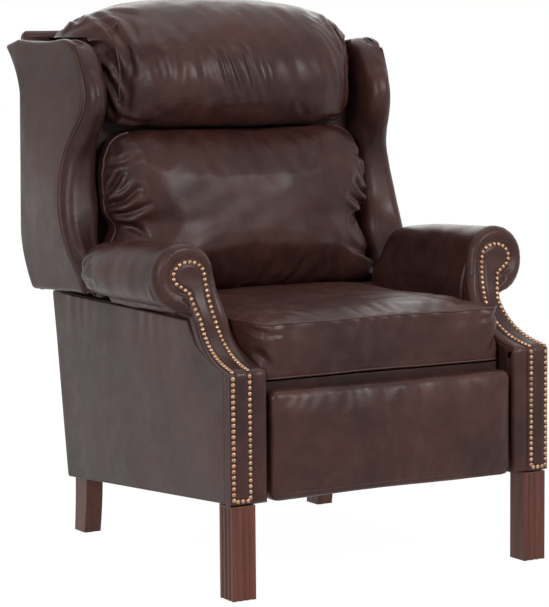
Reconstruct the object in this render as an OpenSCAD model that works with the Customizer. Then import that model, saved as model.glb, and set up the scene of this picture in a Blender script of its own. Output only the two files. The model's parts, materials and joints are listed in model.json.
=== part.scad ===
// High-leg wing chair whose back leans back and whose front panel swings out as a footrest.
// Millimetres, +Z up, the chair faces -Y. Left is +X, as the sitter has it.
// The origin is on the floor, under the middle of the whole chair.

/* [Base] */
// Clear width between the two arms
seat_w = 544; // [500:2:600]
// Width of an arm at its front post
arm_w = 79; // [72:1:90]
// Depth of the base at its top, from the post fronts to the rear panel
base_depth = 817; // [780:1:850]
// How far each side closes in towards the rear
rear_taper = 35; // [15:1:40]
// How far the rear panel leans forward on its way down
rear_lean = 65; // [30:1:80]
// Height of the base's lower edge at the front posts
edge_front_z = 181; // [150:1:210]
// Drop of the lower edge from the front posts to the rear corner
edge_drop = 63; // [20:1:75]
// Height of the flat top of the side walls
wall_top = 500; // [470:1:540]
// Thickness of the padded outer covering of a side
cover_t = 10; // [6:1:14]
// Thickness of the frame boards
board_t = 22; // [16:1:24]
// Height of the side boards
board_h = 88; // [60:1:100]

/* [Legs] */
// Width of a square front leg
front_leg_w = 48; // [40:1:56]
// Radius of the flutes cut down a front leg
flute_r = 4; // [2:0.5:5]
// Width of a rear leg
rear_leg_w = 37; // [30:1:44]
// Depth of a rear leg
rear_leg_d = 52; // [40:1:60]
// How far a rear leg sweeps back to its foot
rear_leg_sweep = 14; // [0:1:30]
// Thickness of the glide under each foot
glide_t = 3; // [2:0.5:5]
// Radius of a leg bolt
leg_bolt_r = 4; // [3:0.5:5]
// Height of a leg bolt, half in the leg and half above it
leg_bolt_l = 60; // [40:2:80]

/* [Arms] */
// Height at which an arm post turns back
post_top = 420; // [390:1:440]
// Distance from the post fronts back to the scroll faces
scroll_back = 166; // [140:1:180]
// Height of the centre of an arm's roll
roll_z = 580; // [565:1:600]
// Radius of an arm's roll
roll_r = 62; // [52:1:68]
// Distance from the roll's rear end to the wing's mean front edge
roll_gap = 39; // [34:1:60]
// Thickness of the padding on the arm fronts
front_pad_t = 20; // [14:1:24]
// Depth of the wooden stump inside an arm front
stump_d = 40; // [30:1:46]
// Thickness of the inner arm padding
inner_pad_t = 14; // [8:1:18]

/* [Nails] */
// Diameter of a nail head
nail_d = 11; // [8:0.5:12]
// Height of a nail head
nail_h = 3.4; // [2:0.2:4]
// Distance between neighbouring nails
nail_pitch = 12.5; // [12.5:0.5:20]
// Distance between the two nail rows on a post
rows_apart = 34; // [28:1:38]
// Thickness of the strip under the nails
facing_t = 3; // [2:0.5:5]

/* [Seat] */
// Side clearance of the seat cushion and the footrest in the seat
seat_gap = 4; // [3:0.5:8]
// Height of the cushion's underside
cushion_z = 394; // [385:1:410]
// Height of the cushion's side, seam to seam
cushion_side = 105; // [80:1:120]
// Rise of the cushion's crown above its top seam
cushion_crown = 13; // [6:1:14]
// Distance from the post fronts to the cushion front
cushion_front = 32; // [25:1:45]
// How far the seat cushion ends before the back's hinge
cushion_end_gap = 35; // [33:1:60]

/* [Footrest] */
// Lower edge of the footrest panel
panel_z = 177; // [170:1:200]
// Upper edge of the footrest panel
panel_top = 378; // [370:1:380]
// Thickness of the footrest padding, without its crown
panel_t = 36; // [25:1:37]
// How far the panel's padded face stands before the post fronts
panel_proud = 3; // [0:1:8]
// Crown of the panel's padding
panel_crown = 7; // [3:0.5:10]
// Length of a scissor link, pivot to pivot
link_l = 172; // [165:0.5:174]
// Half width of a link
link_r = 9.5; // [8:0.5:9.5]
// Thickness of a link
link_t = 4; // [3:0.5:4.4]
// Angle of the links below the horizontal when folded
fold_angle = 85; // [84.5:0.5:86]
// Distance from the post fronts to the main pivot
pivot_y = 86; // [84:0.5:88]
// Height of the main pivot
pivot_z = 358; // [356:0.5:360]
// Radius of the link pins
pin_r = 4; // [3:0.5:5]
// Radial clearance of the pins
pin_gap = 0.1; // [0.05:0.01:0.2]

/* [Back] */
// Distance from the top of the rear panel forward to the back's hinge
hinge_in = 197; // [180:1:205]
// Height of the back's hinge
hinge_z = 360; // [350:1:366]
// How far the outside of the back stands behind the base
back_out = 26; // [21:1:43]
// Height of the back and the wings
back_top = 1018; // [990:1:1040]
// Lower edge of the outside back
back_low = 505; // [503:1:515]
// How far the back's top corner flares to the rear
horn = 66; // [30:1:80]
// Thickness of the outside back
skin_t = 14; // [10:1:14]
// How far the wings' rear edges stand outside the arm posts
wing_out = 24; // [21:1:34]
// Mean depth of a wing
wing_d = 251; // [243:1:255]
// Swing of the front edge about its mean
wing_wave = 27; // [10:1:30]
// Swing of the wing's nose out and in
nose_wave = 20; // [5:1:22]
// Width of a wing's nose
nose_w = 48; // [40:1:52]

/* [Cushions] */
// How far the lumbar cushion's ears reach out over the arms
ear_out = 31; // [8:1:33]
// Height of the lumbar cushion's top
lumbar_top = 836; // [820:1:845]
// Thickness of the lumbar cushion in its middle
lumbar_t = 138; // [110:1:150]
// How far each end of the head pillow reaches out over the arms
pillow_out = 11; // [-2:1:18]
// Top of the head pillow
pillow_top = 1090; // [1075:1:1105]

/* [Hidden] */

$fn = 48;
// Gap between soft pieces that only rest on each other
seam = 0.3;
// Overrun of a cut past the face that it goes through
over = 1;
// Loose fit between frame boards, and running play between steel parts
play = 2;
gap = 0.5;
// Step along a curve that gives its direction
near = 1 / 64;
half_w = seat_w / 2 + arm_w;
inner_x = seat_w / 2;
ear_x = inner_x + ear_out;
pillow_x = inner_x + pillow_out;
wing_x = half_w + wing_out;
back_y = base_depth + back_out;
wing_front = back_y - wing_d;
roll_end = wing_front - roll_gap;
hinge_y = base_depth - hinge_in;
cushion_d = hinge_y - cushion_end_gap - cushion_front;
// The whole chair from the footrest's crown to the horns of the wings
waist_in = 5;
front_most = -panel_proud - panel_crown;
rear_most = back_y - waist_in + horn;
mid_y = (front_most + rear_most) / 2;
taper_angle = atan(rear_taper / base_depth);

leather = [0.24, 0.16, 0.155];
dark_leather = [0.2, 0.13, 0.125];
mahogany = [0.34, 0.19, 0.155];
beech = [0.78, 0.64, 0.46];
steel = [0.55, 0.56, 0.58];
brass = [0.72, 0.56, 0.44];
black_cloth = [0.1, 0.1, 0.1];
nylon = [0.85, 0.84, 0.8];

function lerp(a, b, t) = a + (b - a) * t;
function clamp01(t) = min(1, max(0, t));
function ease(t) = let (c = clamp01(t)) c * c * (3 - 2 * c);
function mean(v, i = 0, s = [0, 0, 0]) = i == len(v) ? s / len(v) : mean(v, i + 1, s + v[i]);
// Point of a cubic curve
function bez(p, t) = pow(1 - t, 3) * p[0] + 3 * pow(1 - t, 2) * t * p[1]
    + 3 * (1 - t) * t * t * p[2] + pow(t, 3) * p[3];
// Value of a table of [place, value] rows at a place
function table(rows, x, i = 0) = i >= len(rows) - 1 ? rows[len(rows) - 1][1]
    : x <= rows[i + 1][0]
        ? lerp(rows[i][1], rows[i + 1][1],
            clamp01((x - rows[i][0]) / (rows[i + 1][0] - rows[i][0])))
        : table(rows, x, i + 1);

// Puts the chair, drawn from the post fronts back, over its origin
module placed() translate([0, -mid_y, 0]) children();
module right_hand() mirror([1, 0, 0]) children();
module both() for (side = [0, 1]) mirror([side, 0, 0]) children();
// A prism along X through a side outline of [y, z] points
module slab(x0, x1, outline)
    translate([x0, 0, 0]) rotate([90, 0, 90]) linear_extrude(x1 - x0) polygon(outline);
// A pin or bore along X
module pin(x0, x1, y, z, r) translate([x0, y, z]) rotate([0, 90, 0]) cylinder(r = r, h = x1 - x0);
module block(low, high) translate(low) cube(high - low);
// The frame in which a side wall runs straight: its outer face is at zero
module along_side() translate([half_w, 0, 0]) rotate([0, 0, taper_angle]) children();
// Closed solid through equal rings of points, each counter-clockwise about the way it runs.
// The hubs are the points that its end faces fan out from, if not the middles of the rings.
module loft(rings, hubs = undef) {
    n = len(rings[0]);
    m = len(rings);
    points = concat([for (r = rings) each r], hubs == undef ? [mean(rings[0]), mean(rings[m - 1])] : hubs);
    sides = [for (j = [0:m - 2], i = [0:n - 1])
        let (p = j * n + i, q = j * n + (i + 1) % n) each [[p, q + n, q], [p, p + n, q + n]]];
    ends = [for (i = [0:n - 1]) let (k = (i + 1) % n)
        each [[i, k, m * n], [(m - 1) * n + k, (m - 1) * n + i, m * n + 1]]];
    polyhedron(points, concat(sides, ends));
}

// Lower edge of the base at a depth y
function edge_z(y) = edge_front_z - edge_drop * y / (base_depth - rear_lean);
// Depth of the rear panel's outer face at a height z
rear_low_z = edge_z(base_depth - rear_lean);
function rear_y(z) = base_depth - rear_lean * (wall_top - z) / (wall_top - rear_low_z);

// The arm's front line: up the post, back along the sweep, up to the scroll face
sweep_out_share = 0.63;
sweep_rise_share = 0.094;
bend_out_share = 0.93;
bend_rise_share = 0.41;
sweep = [[0, post_top],
    [sweep_out_share * scroll_back, lerp(post_top, roll_z, sweep_rise_share)],
    [bend_out_share * scroll_back, lerp(post_top, roll_z, bend_rise_share)],
    [scroll_back, roll_z]];
sweep_steps = 28;
function sweep_t(z, lo = 0, hi = 1, n = 24) = n == 0 ? lo
    : let (mid = (lo + hi) / 2) bez(sweep, mid)[1] < z ? sweep_t(z, mid, hi, n - 1)
        : sweep_t(z, lo, mid, n - 1);
// Depth of the front line at a height
function front_y(z) = z <= post_top ? 0 : z >= roll_z ? scroll_back : bez(sweep, sweep_t(z))[0];
// Slope of the front line at a height, as the turn of its normal from -Y
function front_tilt(z) = z <= post_top || z >= roll_z ? 0
    : let (t = sweep_t(z), d = bez(sweep, min(1, t + near)) - bez(sweep, max(0, t - near)))
        atan2(d[0], d[1]);
// The front line moved inwards by d, from the lower edge up to a height
corner_slope = 38;
function front_line(d, top, low = edge_front_z) = concat([[d, low], [d, post_top - d * tan(corner_slope)]],
    [for (i = [1:sweep_steps])
        let (t = i / sweep_steps, p = bez(sweep, t),
            q = bez(sweep, min(1, t + near)) - bez(sweep, t - near), n = norm(q),
            o = p + d * [q[1], -q[0]] / n)
        if (o[1] < top && o[1] > post_top - d * tan(corner_slope) && o[0] > d) o],
    [[front_y(top + d / 4) + d, top]]);

// Legs
leg_inset = 3;
leg_back = 1;
flute_count = 3;
flute_pitch_share = 0.27;
flute_stop = 4;
leg_top = edge_z(leg_back + front_leg_w);
front_leg_mid = [half_w - leg_inset - front_leg_w / 2, leg_back + front_leg_w / 2];
module front_leg() color(mahogany)
    translate([half_w - leg_inset - front_leg_w, leg_back, 0]) difference() {
        translate([0, 0, glide_t]) cube([front_leg_w, front_leg_w, leg_top - glide_t]);
        for (i = [0:flute_count - 1]) {
            at = front_leg_w * (0.5 + (i - (flute_count - 1) / 2) * flute_pitch_share);
            translate([at, -flute_r / 2, -over]) cylinder(r = flute_r, h = leg_top - flute_stop);
            translate([front_leg_w + flute_r / 2, at, -over])
                cylinder(r = flute_r, h = leg_top - flute_stop);
        }
        leg_bore([front_leg_w, front_leg_w] / 2, leg_top);
    }
module leg_bore(mid, top) translate([mid[0], mid[1], top - leg_bolt_l / 2])
    cylinder(r = leg_bolt_r, h = leg_bolt_l);
rear_leg_side = 16;
rear_leg_x = half_w - rear_taper - rear_leg_side;
rear_leg_proud = 2;
rear_leg_y = base_depth - rear_lean - rear_leg_d + rear_leg_proud;
rear_leg_mid = [rear_leg_x - rear_leg_w / 2, rear_leg_y + rear_leg_d / 2];
rear_leg_top = edge_z(rear_leg_y) - seam;
sabre_share = [[0, 1], [0.25, 0.62], [0.5, 0.3], [0.75, 0.09], [1, 0]];
foot_narrow_share = 0.12;
module rear_leg() color(mahogany) difference() {
    slab(rear_leg_x - rear_leg_w, rear_leg_x, concat(
        [for (s = sabre_share) [rear_leg_y + rear_leg_sweep * s[1],
            lerp(glide_t, rear_leg_top, s[0])]],
        [for (i = [len(sabre_share) - 1:-1:0]) let (s = sabre_share[i])
            [rear_leg_y + rear_leg_d * (1 - foot_narrow_share * s[1]) + rear_leg_sweep * s[1],
                lerp(glide_t, edge_z(rear_leg_y + rear_leg_d) - seam, s[0])]]));
    leg_bore(rear_leg_mid, rear_leg_top);
}
glide_r = 11;
foot_mid_y = rear_leg_y + rear_leg_sweep + rear_leg_d * (1 - foot_narrow_share) / 2;
module leg_glides() color(nylon) both() {
    translate([front_leg_mid[0], front_leg_mid[1], 0]) cylinder(r = glide_r, h = glide_t);
    translate([rear_leg_mid[0], foot_mid_y, 0]) cylinder(r = glide_r, h = glide_t);
}
module leg_bolts() color(steel) both() {
    leg_bore(front_leg_mid, leg_top);
    leg_bore(rear_leg_mid, rear_leg_top);
}

// Frame of the base
stump_in = inner_x + inner_pad_t;
stump_side = 9;
stump_out = half_w - cover_t - stump_side;
function reversed(v) = [for (i = [len(v) - 1:-1:0]) v[i]];
module arm_stump() color(beech) difference() {
    slab(stump_in, stump_out, concat(front_line(front_pad_t, wall_top, leg_top),
        reversed(front_line(front_pad_t + stump_d, wall_top, leg_top))));
    leg_bore(front_leg_mid, leg_top);
}
rail_y = front_pad_t + stump_d + play;
function panel_in(y) = half_w - rear_taper * y / base_depth - cover_t / cos(taper_angle);
function side_in(y) = panel_in(y) - board_t / cos(taper_angle);
// Rear end of a board that runs along a side, at a height
function board_end(z) = rear_y(z) - cover_t + seam;
module side_rail() color(beech) along_side() slab(-cover_t - board_t, -cover_t, [
    [rail_y, edge_z(rail_y)], [board_end(rear_low_z), edge_z(board_end(rear_low_z))],
    [board_end(rear_low_z + board_h), rear_low_z + board_h], [rail_y, edge_z(rail_y) + board_h]]);
front_rail_y = 115;
rear_rail_y = rear_leg_y - play;
rear_rail_d = 36;
rail_top = 236;
module front_rail() color(beech) block(
    [-side_in(front_rail_y + board_t), front_rail_y, edge_z(front_rail_y)],
    [side_in(front_rail_y + board_t), front_rail_y + board_t, rail_top]);
module rear_rail() color(beech) difference() {
    block([-side_in(rear_rail_y + rear_rail_d), rear_rail_y, rear_leg_top],
        [side_in(rear_rail_y + rear_rail_d), rear_rail_y + rear_rail_d, rail_top]);
    both() leg_bore(rear_leg_mid, rear_leg_top);
}
post_low = rear_leg_top + board_h;
module rear_posts() color(beech) both() along_side() slab(-cover_t - board_t, -cover_t, [
    [board_end(post_low) - stump_d, post_low], [board_end(post_low), post_low],
    [board_end(wall_top), wall_top], [board_end(wall_top) - stump_d, wall_top]]);
arm_rail_h = 42;
arm_rail_y0 = scroll_back + front_pad_t + stump_d;
arm_rail_y1 = board_end(wall_top - arm_rail_h) - stump_d - 2 * play;
module arm_rails() color(beech) both() translate([0, 0, wall_top - arm_rail_h])
    linear_extrude(arm_rail_h) polygon([
        [stump_in, arm_rail_y0], [panel_in(arm_rail_y0) - seam, arm_rail_y0],
        [panel_in(arm_rail_y1) - seam, arm_rail_y1], [stump_in, arm_rail_y1]]);

// Coverings of the base
wall_front = front_line(front_pad_t + over, wall_top);
module side_panel() color(leather) along_side() slab(-cover_t, 0, concat(
    [[front_pad_t + over, edge_z(front_pad_t)], [base_depth - rear_lean, rear_low_z],
        [base_depth, wall_top]],
    [for (i = [len(wall_front) - 1:-1:1]) wall_front[i]]));
inner_low = 300;
inner_past_roll = 60;
inner_end = roll_end + inner_past_roll;
module inside_arm() color(dark_leather) slab(inner_x, stump_in, concat(
    [[front_pad_t + over, inner_low], [inner_end, inner_low], [inner_end, wall_top]],
    [for (i = [len(wall_front) - 1:-1:1]) wall_front[i]]));
back_panel_x = panel_in(base_depth) - 2 * seam;
module base_back_panel() color(leather) slab(-back_panel_x, back_panel_x, [
    [rear_y(rear_low_z) - cover_t, edge_z(rear_y(rear_low_z) - cover_t)], [rear_y(rear_low_z), rear_low_z],
    [base_depth, wall_top], [base_depth - cover_t, wall_top]]);
dust_t = 1.5;
dust_edge = 4;
module dust_cover() color(black_cloth) loft([for (y = [front_rail_y, rear_rail_y])
    let (x = panel_in(y) - dust_edge, z = edge_z(y) - seam)
        [[-x, y, z], [-x, y, z - dust_t], [x, y, z - dust_t], [x, y, z]]]);

// The arm's roll: a round scroll over a neck that drops to the inner arm
roll_x = half_w - over;
roll_top_drop = 12;
neck_r = 9;
// Section at one place along the roll, of radius r, as [x, z] points counter-clockwise about -Y
roll_arc_points = 22;
arc_from = -100;
arc_to = 172;
function roll_section(r) = concat(
    [for (i = [0:roll_arc_points]) let (a = lerp(arc_from, arc_to, i / roll_arc_points))
        [roll_x + r * cos(a), roll_z + r * sin(a)]],
    [[inner_x + neck_r / 3, lerp(wall_top, roll_z, 0.55)], [inner_x, lerp(wall_top, roll_z, 0.3)],
        [inner_x, wall_top], [roll_x - cover_t - neck_r / 2, wall_top]]);
roll_stations_share = [[0, 0.97], [0.015, 1], [0.3, 1.01], [0.62, 0.98], [0.85, 0.93], [0.96, 0.86], [1, 0.72]];
function roll_drop(z, s) = roll_top_drop * s * ease((z - wall_top) / roll_r);
module arm_roll() color(leather) loft([for (s = roll_stations_share)
    [for (p = roll_section(roll_r * s[1]))
        [p[0], lerp(scroll_back, roll_end, s[0]), p[1] - roll_drop(p[1], s[0])]]]);

// Places of the nail rows across the arm front, by height
strip_margin = nail_d / 2 + 1;
row_edge = 5;
neck_from_inner = 46.5;
neck_flare = [1, 3, 13];
row_mid = half_w - row_edge - rows_apart / 2;
neck_mid = inner_x + neck_from_inner;
neck_half = 15;
neck_z_share = 0.5;
neck_z = lerp(post_top, roll_z, neck_z_share);
loop_shift = 6;
loop_x = roll_x - loop_shift;
loop_z = roll_z + play;
loop_rx = 32;
loop_rz = 26;
// Inner and outer nail rows: [x] at a height below the loop
function row_in(z) = z <= post_top ? row_mid - rows_apart / 2
    : table([[post_top, row_mid - rows_apart / 2],
        [lerp(post_top, neck_z, 0.4), neck_mid - neck_half + neck_flare[0]],
        [neck_z, neck_mid - neck_half], [loop_z, loop_x - loop_rx]], z);
function row_out(z) = z <= post_top ? row_mid + rows_apart / 2
    : table([[post_top, row_mid + rows_apart / 2],
        [lerp(post_top, neck_z, 0.6), neck_mid + neck_half + neck_flare[1]],
        [neck_z, neck_mid + neck_half], [loop_z - loop_rz * 1.2, neck_mid + neck_half + neck_flare[2]],
        [loop_z - loop_rz * 0.8, loop_x + loop_rx * 0.45]], z);
nail_edge = 10;
row_step = 6;
// One polyline of [x, y, z, tilt]: up the inner row, round the loop, down the outer row, across the foot
row_heights = concat([for (z = [leg_top + nail_edge:row_step:post_top]) z],
    [post_top, post_top + seam], [for (i = [1:sweep_steps - 6]) bez(sweep, i / sweep_steps)[1]]);
// The outer row climbs to the loop's neck, the inner row on to the loop's side
function row_heights_to(top) = concat(row_heights, [for (i = [sweep_steps - 5:sweep_steps - 1])
    let (z = bez(sweep, i / sweep_steps)[1]) if (z < top) z]);
inner_heights = row_heights_to(loop_z - loop_shift);
outer_heights = row_heights_to(loop_z - loop_rz - loop_shift / 2);
loop_from = 188;
loop_to = -32;
loop_points = 20;
nail_path = concat(
    [for (z = inner_heights) [row_in(z), front_y(z), z, front_tilt(z)]],
    [for (i = [0:loop_points]) let (a = lerp(loop_from, loop_to, i / loop_points),
        z = loop_z + loop_rz * sin(a)) [loop_x + loop_rx * cos(a), front_y(z), z, front_tilt(z)]],
    [for (z = reversed(outer_heights)) [row_out(z), front_y(z), z, front_tilt(z)]],
    [[row_in(0), front_y(0), leg_top + nail_edge, 0]]);
function place3(p) = [p[0], p[1], p[2]];
// Lengths along the path up to each point
function run(path, i = 1, acc = [0]) = i == len(path) ? acc
    : run(path, i + 1, concat(acc, [acc[i - 1] + norm(place3(path[i]) - place3(path[i - 1]))]));
nail_run = run(nail_path);
function at_run(s, i = 1) = i >= len(nail_path) - 1 || nail_run[i] >= s
    ? lerp(nail_path[i - 1], nail_path[i], clamp01((s - nail_run[i - 1])
        / max(nail_run[i] - nail_run[i - 1], seam / 100))) : at_run(s, i + 1);
nail_total = nail_run[len(nail_run) - 1];
nail_count = floor(nail_total / nail_pitch);
dome_share = [0.8, 0.35];
dome_step_share = 0.55;
module nail() rotate([90, 0, 0]) {
    cylinder(r1 = nail_d / 2, r2 = nail_d / 2 * dome_share[0], h = nail_h * dome_step_share);
    translate([0, 0, nail_h * dome_step_share])
        cylinder(r1 = nail_d / 2 * dome_share[0], r2 = nail_d / 2 * dome_share[1],
            h = nail_h * (1 - dome_step_share));
}
module nail_trim() color(brass) for (i = [0:nail_count - 1]) {
    p = at_run((i + 0.5) * nail_total / nail_count);
    translate(place3(p)) rotate([-p[3], 0, 0]) translate([0, -facing_t - 2 * seam, 0]) nail();
}

// The padded arm front: the band along the front line, trimmed to the front outline
edge_step = 8;
pad_top = 560;
sweep_stations = [for (i = [1:sweep_steps - 4]) bez(sweep, i / sweep_steps)[1]];
sweep_end_z = sweep_stations[len(sweep_stations) - 1];
pad_back = reversed(front_line(front_pad_t - seam, wall_top, leg_top));
module arm_front() color(leather) intersection() {
    slab(inner_x, half_w, concat(front_line(0, pad_top, leg_top), [[scroll_back - seam, pad_top]],
        [for (p = pad_back) [min(p[0], scroll_back - seam), p[1]]]));
    translate([0, 2 * scroll_back, 0]) rotate([90, 0, 0]) linear_extrude(3 * scroll_back) polygon([
        [inner_x, 0], [half_w, 0], [half_w, post_top],
        [lerp(half_w, neck_mid + neck_half + edge_step, 0.75), lerp(post_top, neck_z, 0.5)],
        [neck_mid + neck_half + edge_step, neck_z], [row_out(pad_top) + strip_margin, pad_top],
        [row_in(pad_top) - strip_margin, pad_top], [inner_x, wall_top - seam]]);
}

// The strip that the nails hold: one band up the post and the sweep that widens to a keyhole
strip_low = 4;
loop_edge = [loop_rx + strip_margin, loop_rz + strip_margin];
// Half the keyhole's width at a height, as a part of its round
function loop_half(z) = loop_edge[0] * sqrt(max(0, 1 - pow((z - loop_z) / loop_edge[1], 2)));
function strip_in(z) = z < loop_z ? row_in(z) - strip_margin : loop_x - loop_half(z);
function strip_out(z) = z < loop_z - loop_edge[1] ? row_out(z) + strip_margin
    : z < loop_z ? max(row_out(z) + strip_margin * (loop_z - z) / loop_edge[1], loop_x + loop_half(z))
        : loop_x + loop_half(z);
// Offset from the front line, d outwards, at a height
function off_front(x, z, d) = let (a = front_tilt(z)) [x, front_y(z) - d * cos(a), z + d * sin(a)];
function strip_ring(z) = [for (q = [[strip_in(z), seam / 2], [strip_out(z), seam / 2],
    [strip_out(z), facing_t], [strip_in(z), facing_t]]) off_front(q[0], z, q[1])];
loop_turns = 12;
keyhole_crest = loop_z + loop_edge[1] - seam;
keyhole_stations = [for (i = [1:loop_turns]) lerp(sweep_end_z, keyhole_crest, sin(90 * i / loop_turns))];
module arm_facing() color(leather)
    loft([for (z = concat([leg_top + strip_low, post_top, post_top + seam], sweep_stations, keyhole_stations))
        strip_ring(z)]);

// Steel mechanism: layers of links side by side inside each plate
plate_room = 32;
plate_x = inner_x - plate_room;
layer = link_t + gap;
plate_in = plate_x - link_t;
function layer_out(k) = plate_in - (k - 1) * layer - gap;
reach = link_l * cos(fold_angle);
drop = link_l * sin(fold_angle);
channel_y0 = 92;
channel_w = 32;
channel_y1 = rear_rail_y + board_t;
channel_t = 3;
channel_h = 20;
channel_x0 = plate_x + channel_t;
channel_x1 = channel_x0 + channel_w;
module mechanism_rail() color(steel) difference() {
    block([channel_x0, channel_y0, rail_top], [channel_x1, channel_y1, rail_top + channel_h]);
    block([channel_x0 + channel_t, channel_y0 - over, rail_top + channel_t],
        [channel_x1 - channel_t, channel_y1 + over, rail_top + channel_h + over]);
}
shoe_l = 60;
shoe_from_ends = [58, 150];
shoe_y = [channel_y0 + shoe_from_ends[0], channel_y1 - shoe_from_ends[1]];
tab_lift = 1.5;
tab_z = rail_top + channel_h + tab_lift;
module slide_shoes() color(nylon) for (side = [0, 1]) mirror([side, 0, 0]) for (y = shoe_y)
    block([channel_x0 + channel_t + gap, y, rail_top + channel_t + seam],
        [channel_x1 - channel_t - gap, y + shoe_l, tab_z]);
plate_top = 385;
tongue_d = 36;
slot_top = 40;
tongue_low = 14;
plate_past_hinge = 24;
plate_rear = hinge_y + plate_past_hinge;
module mechanism_plate() color(steel) {
    difference() {
        slab(plate_in, plate_x, [[pivot_y - tongue_d / 2, pivot_z - drop - tongue_low],
            [pivot_y + tongue_d / 2, pivot_z - drop - tongue_low], [pivot_y + tongue_d / 2, tab_z],
            [plate_rear, tab_z], [plate_rear, plate_top], [pivot_y - tongue_d / 2, plate_top]]);
        pin(plate_in - over, plate_x + over, pivot_y, pivot_z, rod_r + pin_gap);
        slot_r = pin_r + 3 * pin_gap;
        pin(plate_in - over, plate_x + over, pivot_y, pivot_z - drop, slot_r);
        block([plate_in - over, pivot_y - slot_r, pivot_z - drop],
            [plate_x + over, pivot_y + slot_r, pivot_z - slot_top]);
    }
    for (y = shoe_y) block([plate_in, y, tab_z], [channel_x1 - channel_t - gap, y + shoe_l, tab_z + link_t]);
    pin(back_bracket_x - play, plate_in, hinge_y, hinge_z, hinge_pin_r);
}
rod_r = 5;
module torque_rod() color(steel) pin(-plate_x, plate_x, pivot_y, pivot_z, rod_r);
p_main = [pivot_y, pivot_z];
p_low = [pivot_y, pivot_z - drop];
f_top = [pivot_y - reach, pivot_z];
f_low = [pivot_y - reach, pivot_z - drop];
g_top = [pivot_y - 2 * reach, pivot_z];
g_low = [pivot_y - 2 * reach, pivot_z - drop];
m_rear = (p_main + f_low) / 2;
m_front = (f_top + g_low) / 2;
// A bar of one layer with bores at the given points
module bored_bar(k, a, b, bores, r) difference() {
    straight_bar(k, a, b);
    for (p = bores) pin(layer_out(k) - link_t - over, layer_out(k) + over, p[0], p[1], r);
}
module straight_bar(k, a, b) {
    d = b - a;
    pin(layer_out(k) - link_t, layer_out(k), a[0], a[1], link_r);
    pin(layer_out(k) - link_t, layer_out(k), b[0], b[1], link_r);
    n = link_r * [-d[1], d[0]] / norm(d);
    slab(layer_out(k) - link_t, layer_out(k), [a + n, a - n, b - n, b + n]);
}
module rear_links() color(steel) both() {
    bored_bar(1, p_main, f_low, [p_main], rod_r);
    rivet_in(1, 2, m_rear);
}
// A rivet that stands on the inner face of layer k0 and ends flush with that of k1
module rivet_in(k0, k1, p) pin(layer_out(k1) - link_t, layer_out(k0) - link_t, p[0], p[1], pin_r);
module rear_cross_links() color(steel) both() {
    bored_bar(2, p_low, f_top, [m_rear], pin_r + pin_gap);
    pin(layer_out(2), plate_x, p_low[0], p_low[1], pin_r);
    rivet_in(2, 3, f_top);
}
module front_links() color(steel) both() {
    bored_bar(3, f_top, g_low, [f_top], pin_r + pin_gap);
    rivet_in(3, 4, m_front);
}
module front_cross_links() color(steel) both() {
    bored_bar(4, f_low, g_top, [m_front], pin_r + pin_gap);
    rivet_in(4, 5, g_top);
}

// Footrest
board_back = 12;
panel_back = -panel_proud + panel_t;
panel_half = inner_x - seat_gap - play;
board_inset = 12;
board_under_top = 8;
module footrest_board() color(beech) block(
    [-panel_half + board_inset, panel_back, panel_z + board_inset],
    [panel_half - board_inset, panel_back + board_back, panel_top - board_under_top]);
bracket_h = 96;
flange_t = 2.5;
flange_w = 26;
bracket_foot = 6;
bracket_r = link_r - over;
module footrest_brackets() color(steel) both() {
    x1 = layer_out(5);
    difference() {
        union() {
            pin(x1 - link_t, x1, g_top[0], g_top[1], bracket_r);
            slab(x1 - link_t, x1, [[panel_back + board_back, pivot_z - bracket_h],
                [panel_back + board_back + bracket_foot, pivot_z - bracket_h],
                [g_top[0] + bracket_r - over, pivot_z - link_r], [g_top[0], pivot_z + bracket_r],
                [panel_back + board_back, pivot_z + bracket_r]]);
        }
        pin(x1 - link_t - over, x1 + over, g_top[0], g_top[1], pin_r + pin_gap);
    }
    block([x1 - link_t - flange_w, panel_back + board_back, pivot_z - bracket_h],
        [x1 - link_t, panel_back + board_back + flange_t, pivot_z + bracket_r]);
}
// A rectangle of half sizes a and b with corner radius r, its sides drawn in by pull
side_points = 6;
corner_points = 4;
function drawn_in(t, pull) = pull * (1 - t * t);
function soft_side(off, along, r, pull) = concat(
    [for (i = [0:side_points]) let (t = -1 + 2 * i / side_points) [off - drawn_in(t, pull), t * along]],
    [for (i = [1:corner_points - 1]) let (w = 90 * i / corner_points)
        [off - r + r * cos(w), along + r * sin(w)]]);
function turned(p, a) = [p[0] * cos(a) - p[1] * sin(a), p[0] * sin(a) + p[1] * cos(a)];
function soft_ring(a, b, r, pull) = [for (k = [0:3])
    each [for (q = soft_side(k % 2 == 0 ? a : b, k % 2 == 0 ? b - r : a - r, r, pull)) turned(q, 90 * k)]];
panel_corner = 14;
panel_pull = 2;
// Levels of the footrest's padding: [inset in corner radii, share of the thickness, share of the crown]
panel_levels_share = [[0, 0, 0], [0, 0.82, 0], [0.2, 1, 0.05], [0.7, 1, 0.4], [1.7, 1, 0.68], [3.3, 1, 0.88],
    [5.2, 1, 1]];
module footrest_pad() color(leather) {
    mid_z = (panel_z + panel_top) / 2;
    half_z = (panel_top - panel_z) / 2;
    loft([for (s = panel_levels_share) let (d = s[0] * panel_corner)
        [for (p = soft_ring(panel_half - d, half_z - d, max(panel_corner * 0.6, panel_corner - d),
                panel_pull))
            [p[0], panel_back - s[1] * panel_t - s[2] * panel_crown, mid_z + p[1]]]]);
}

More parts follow.
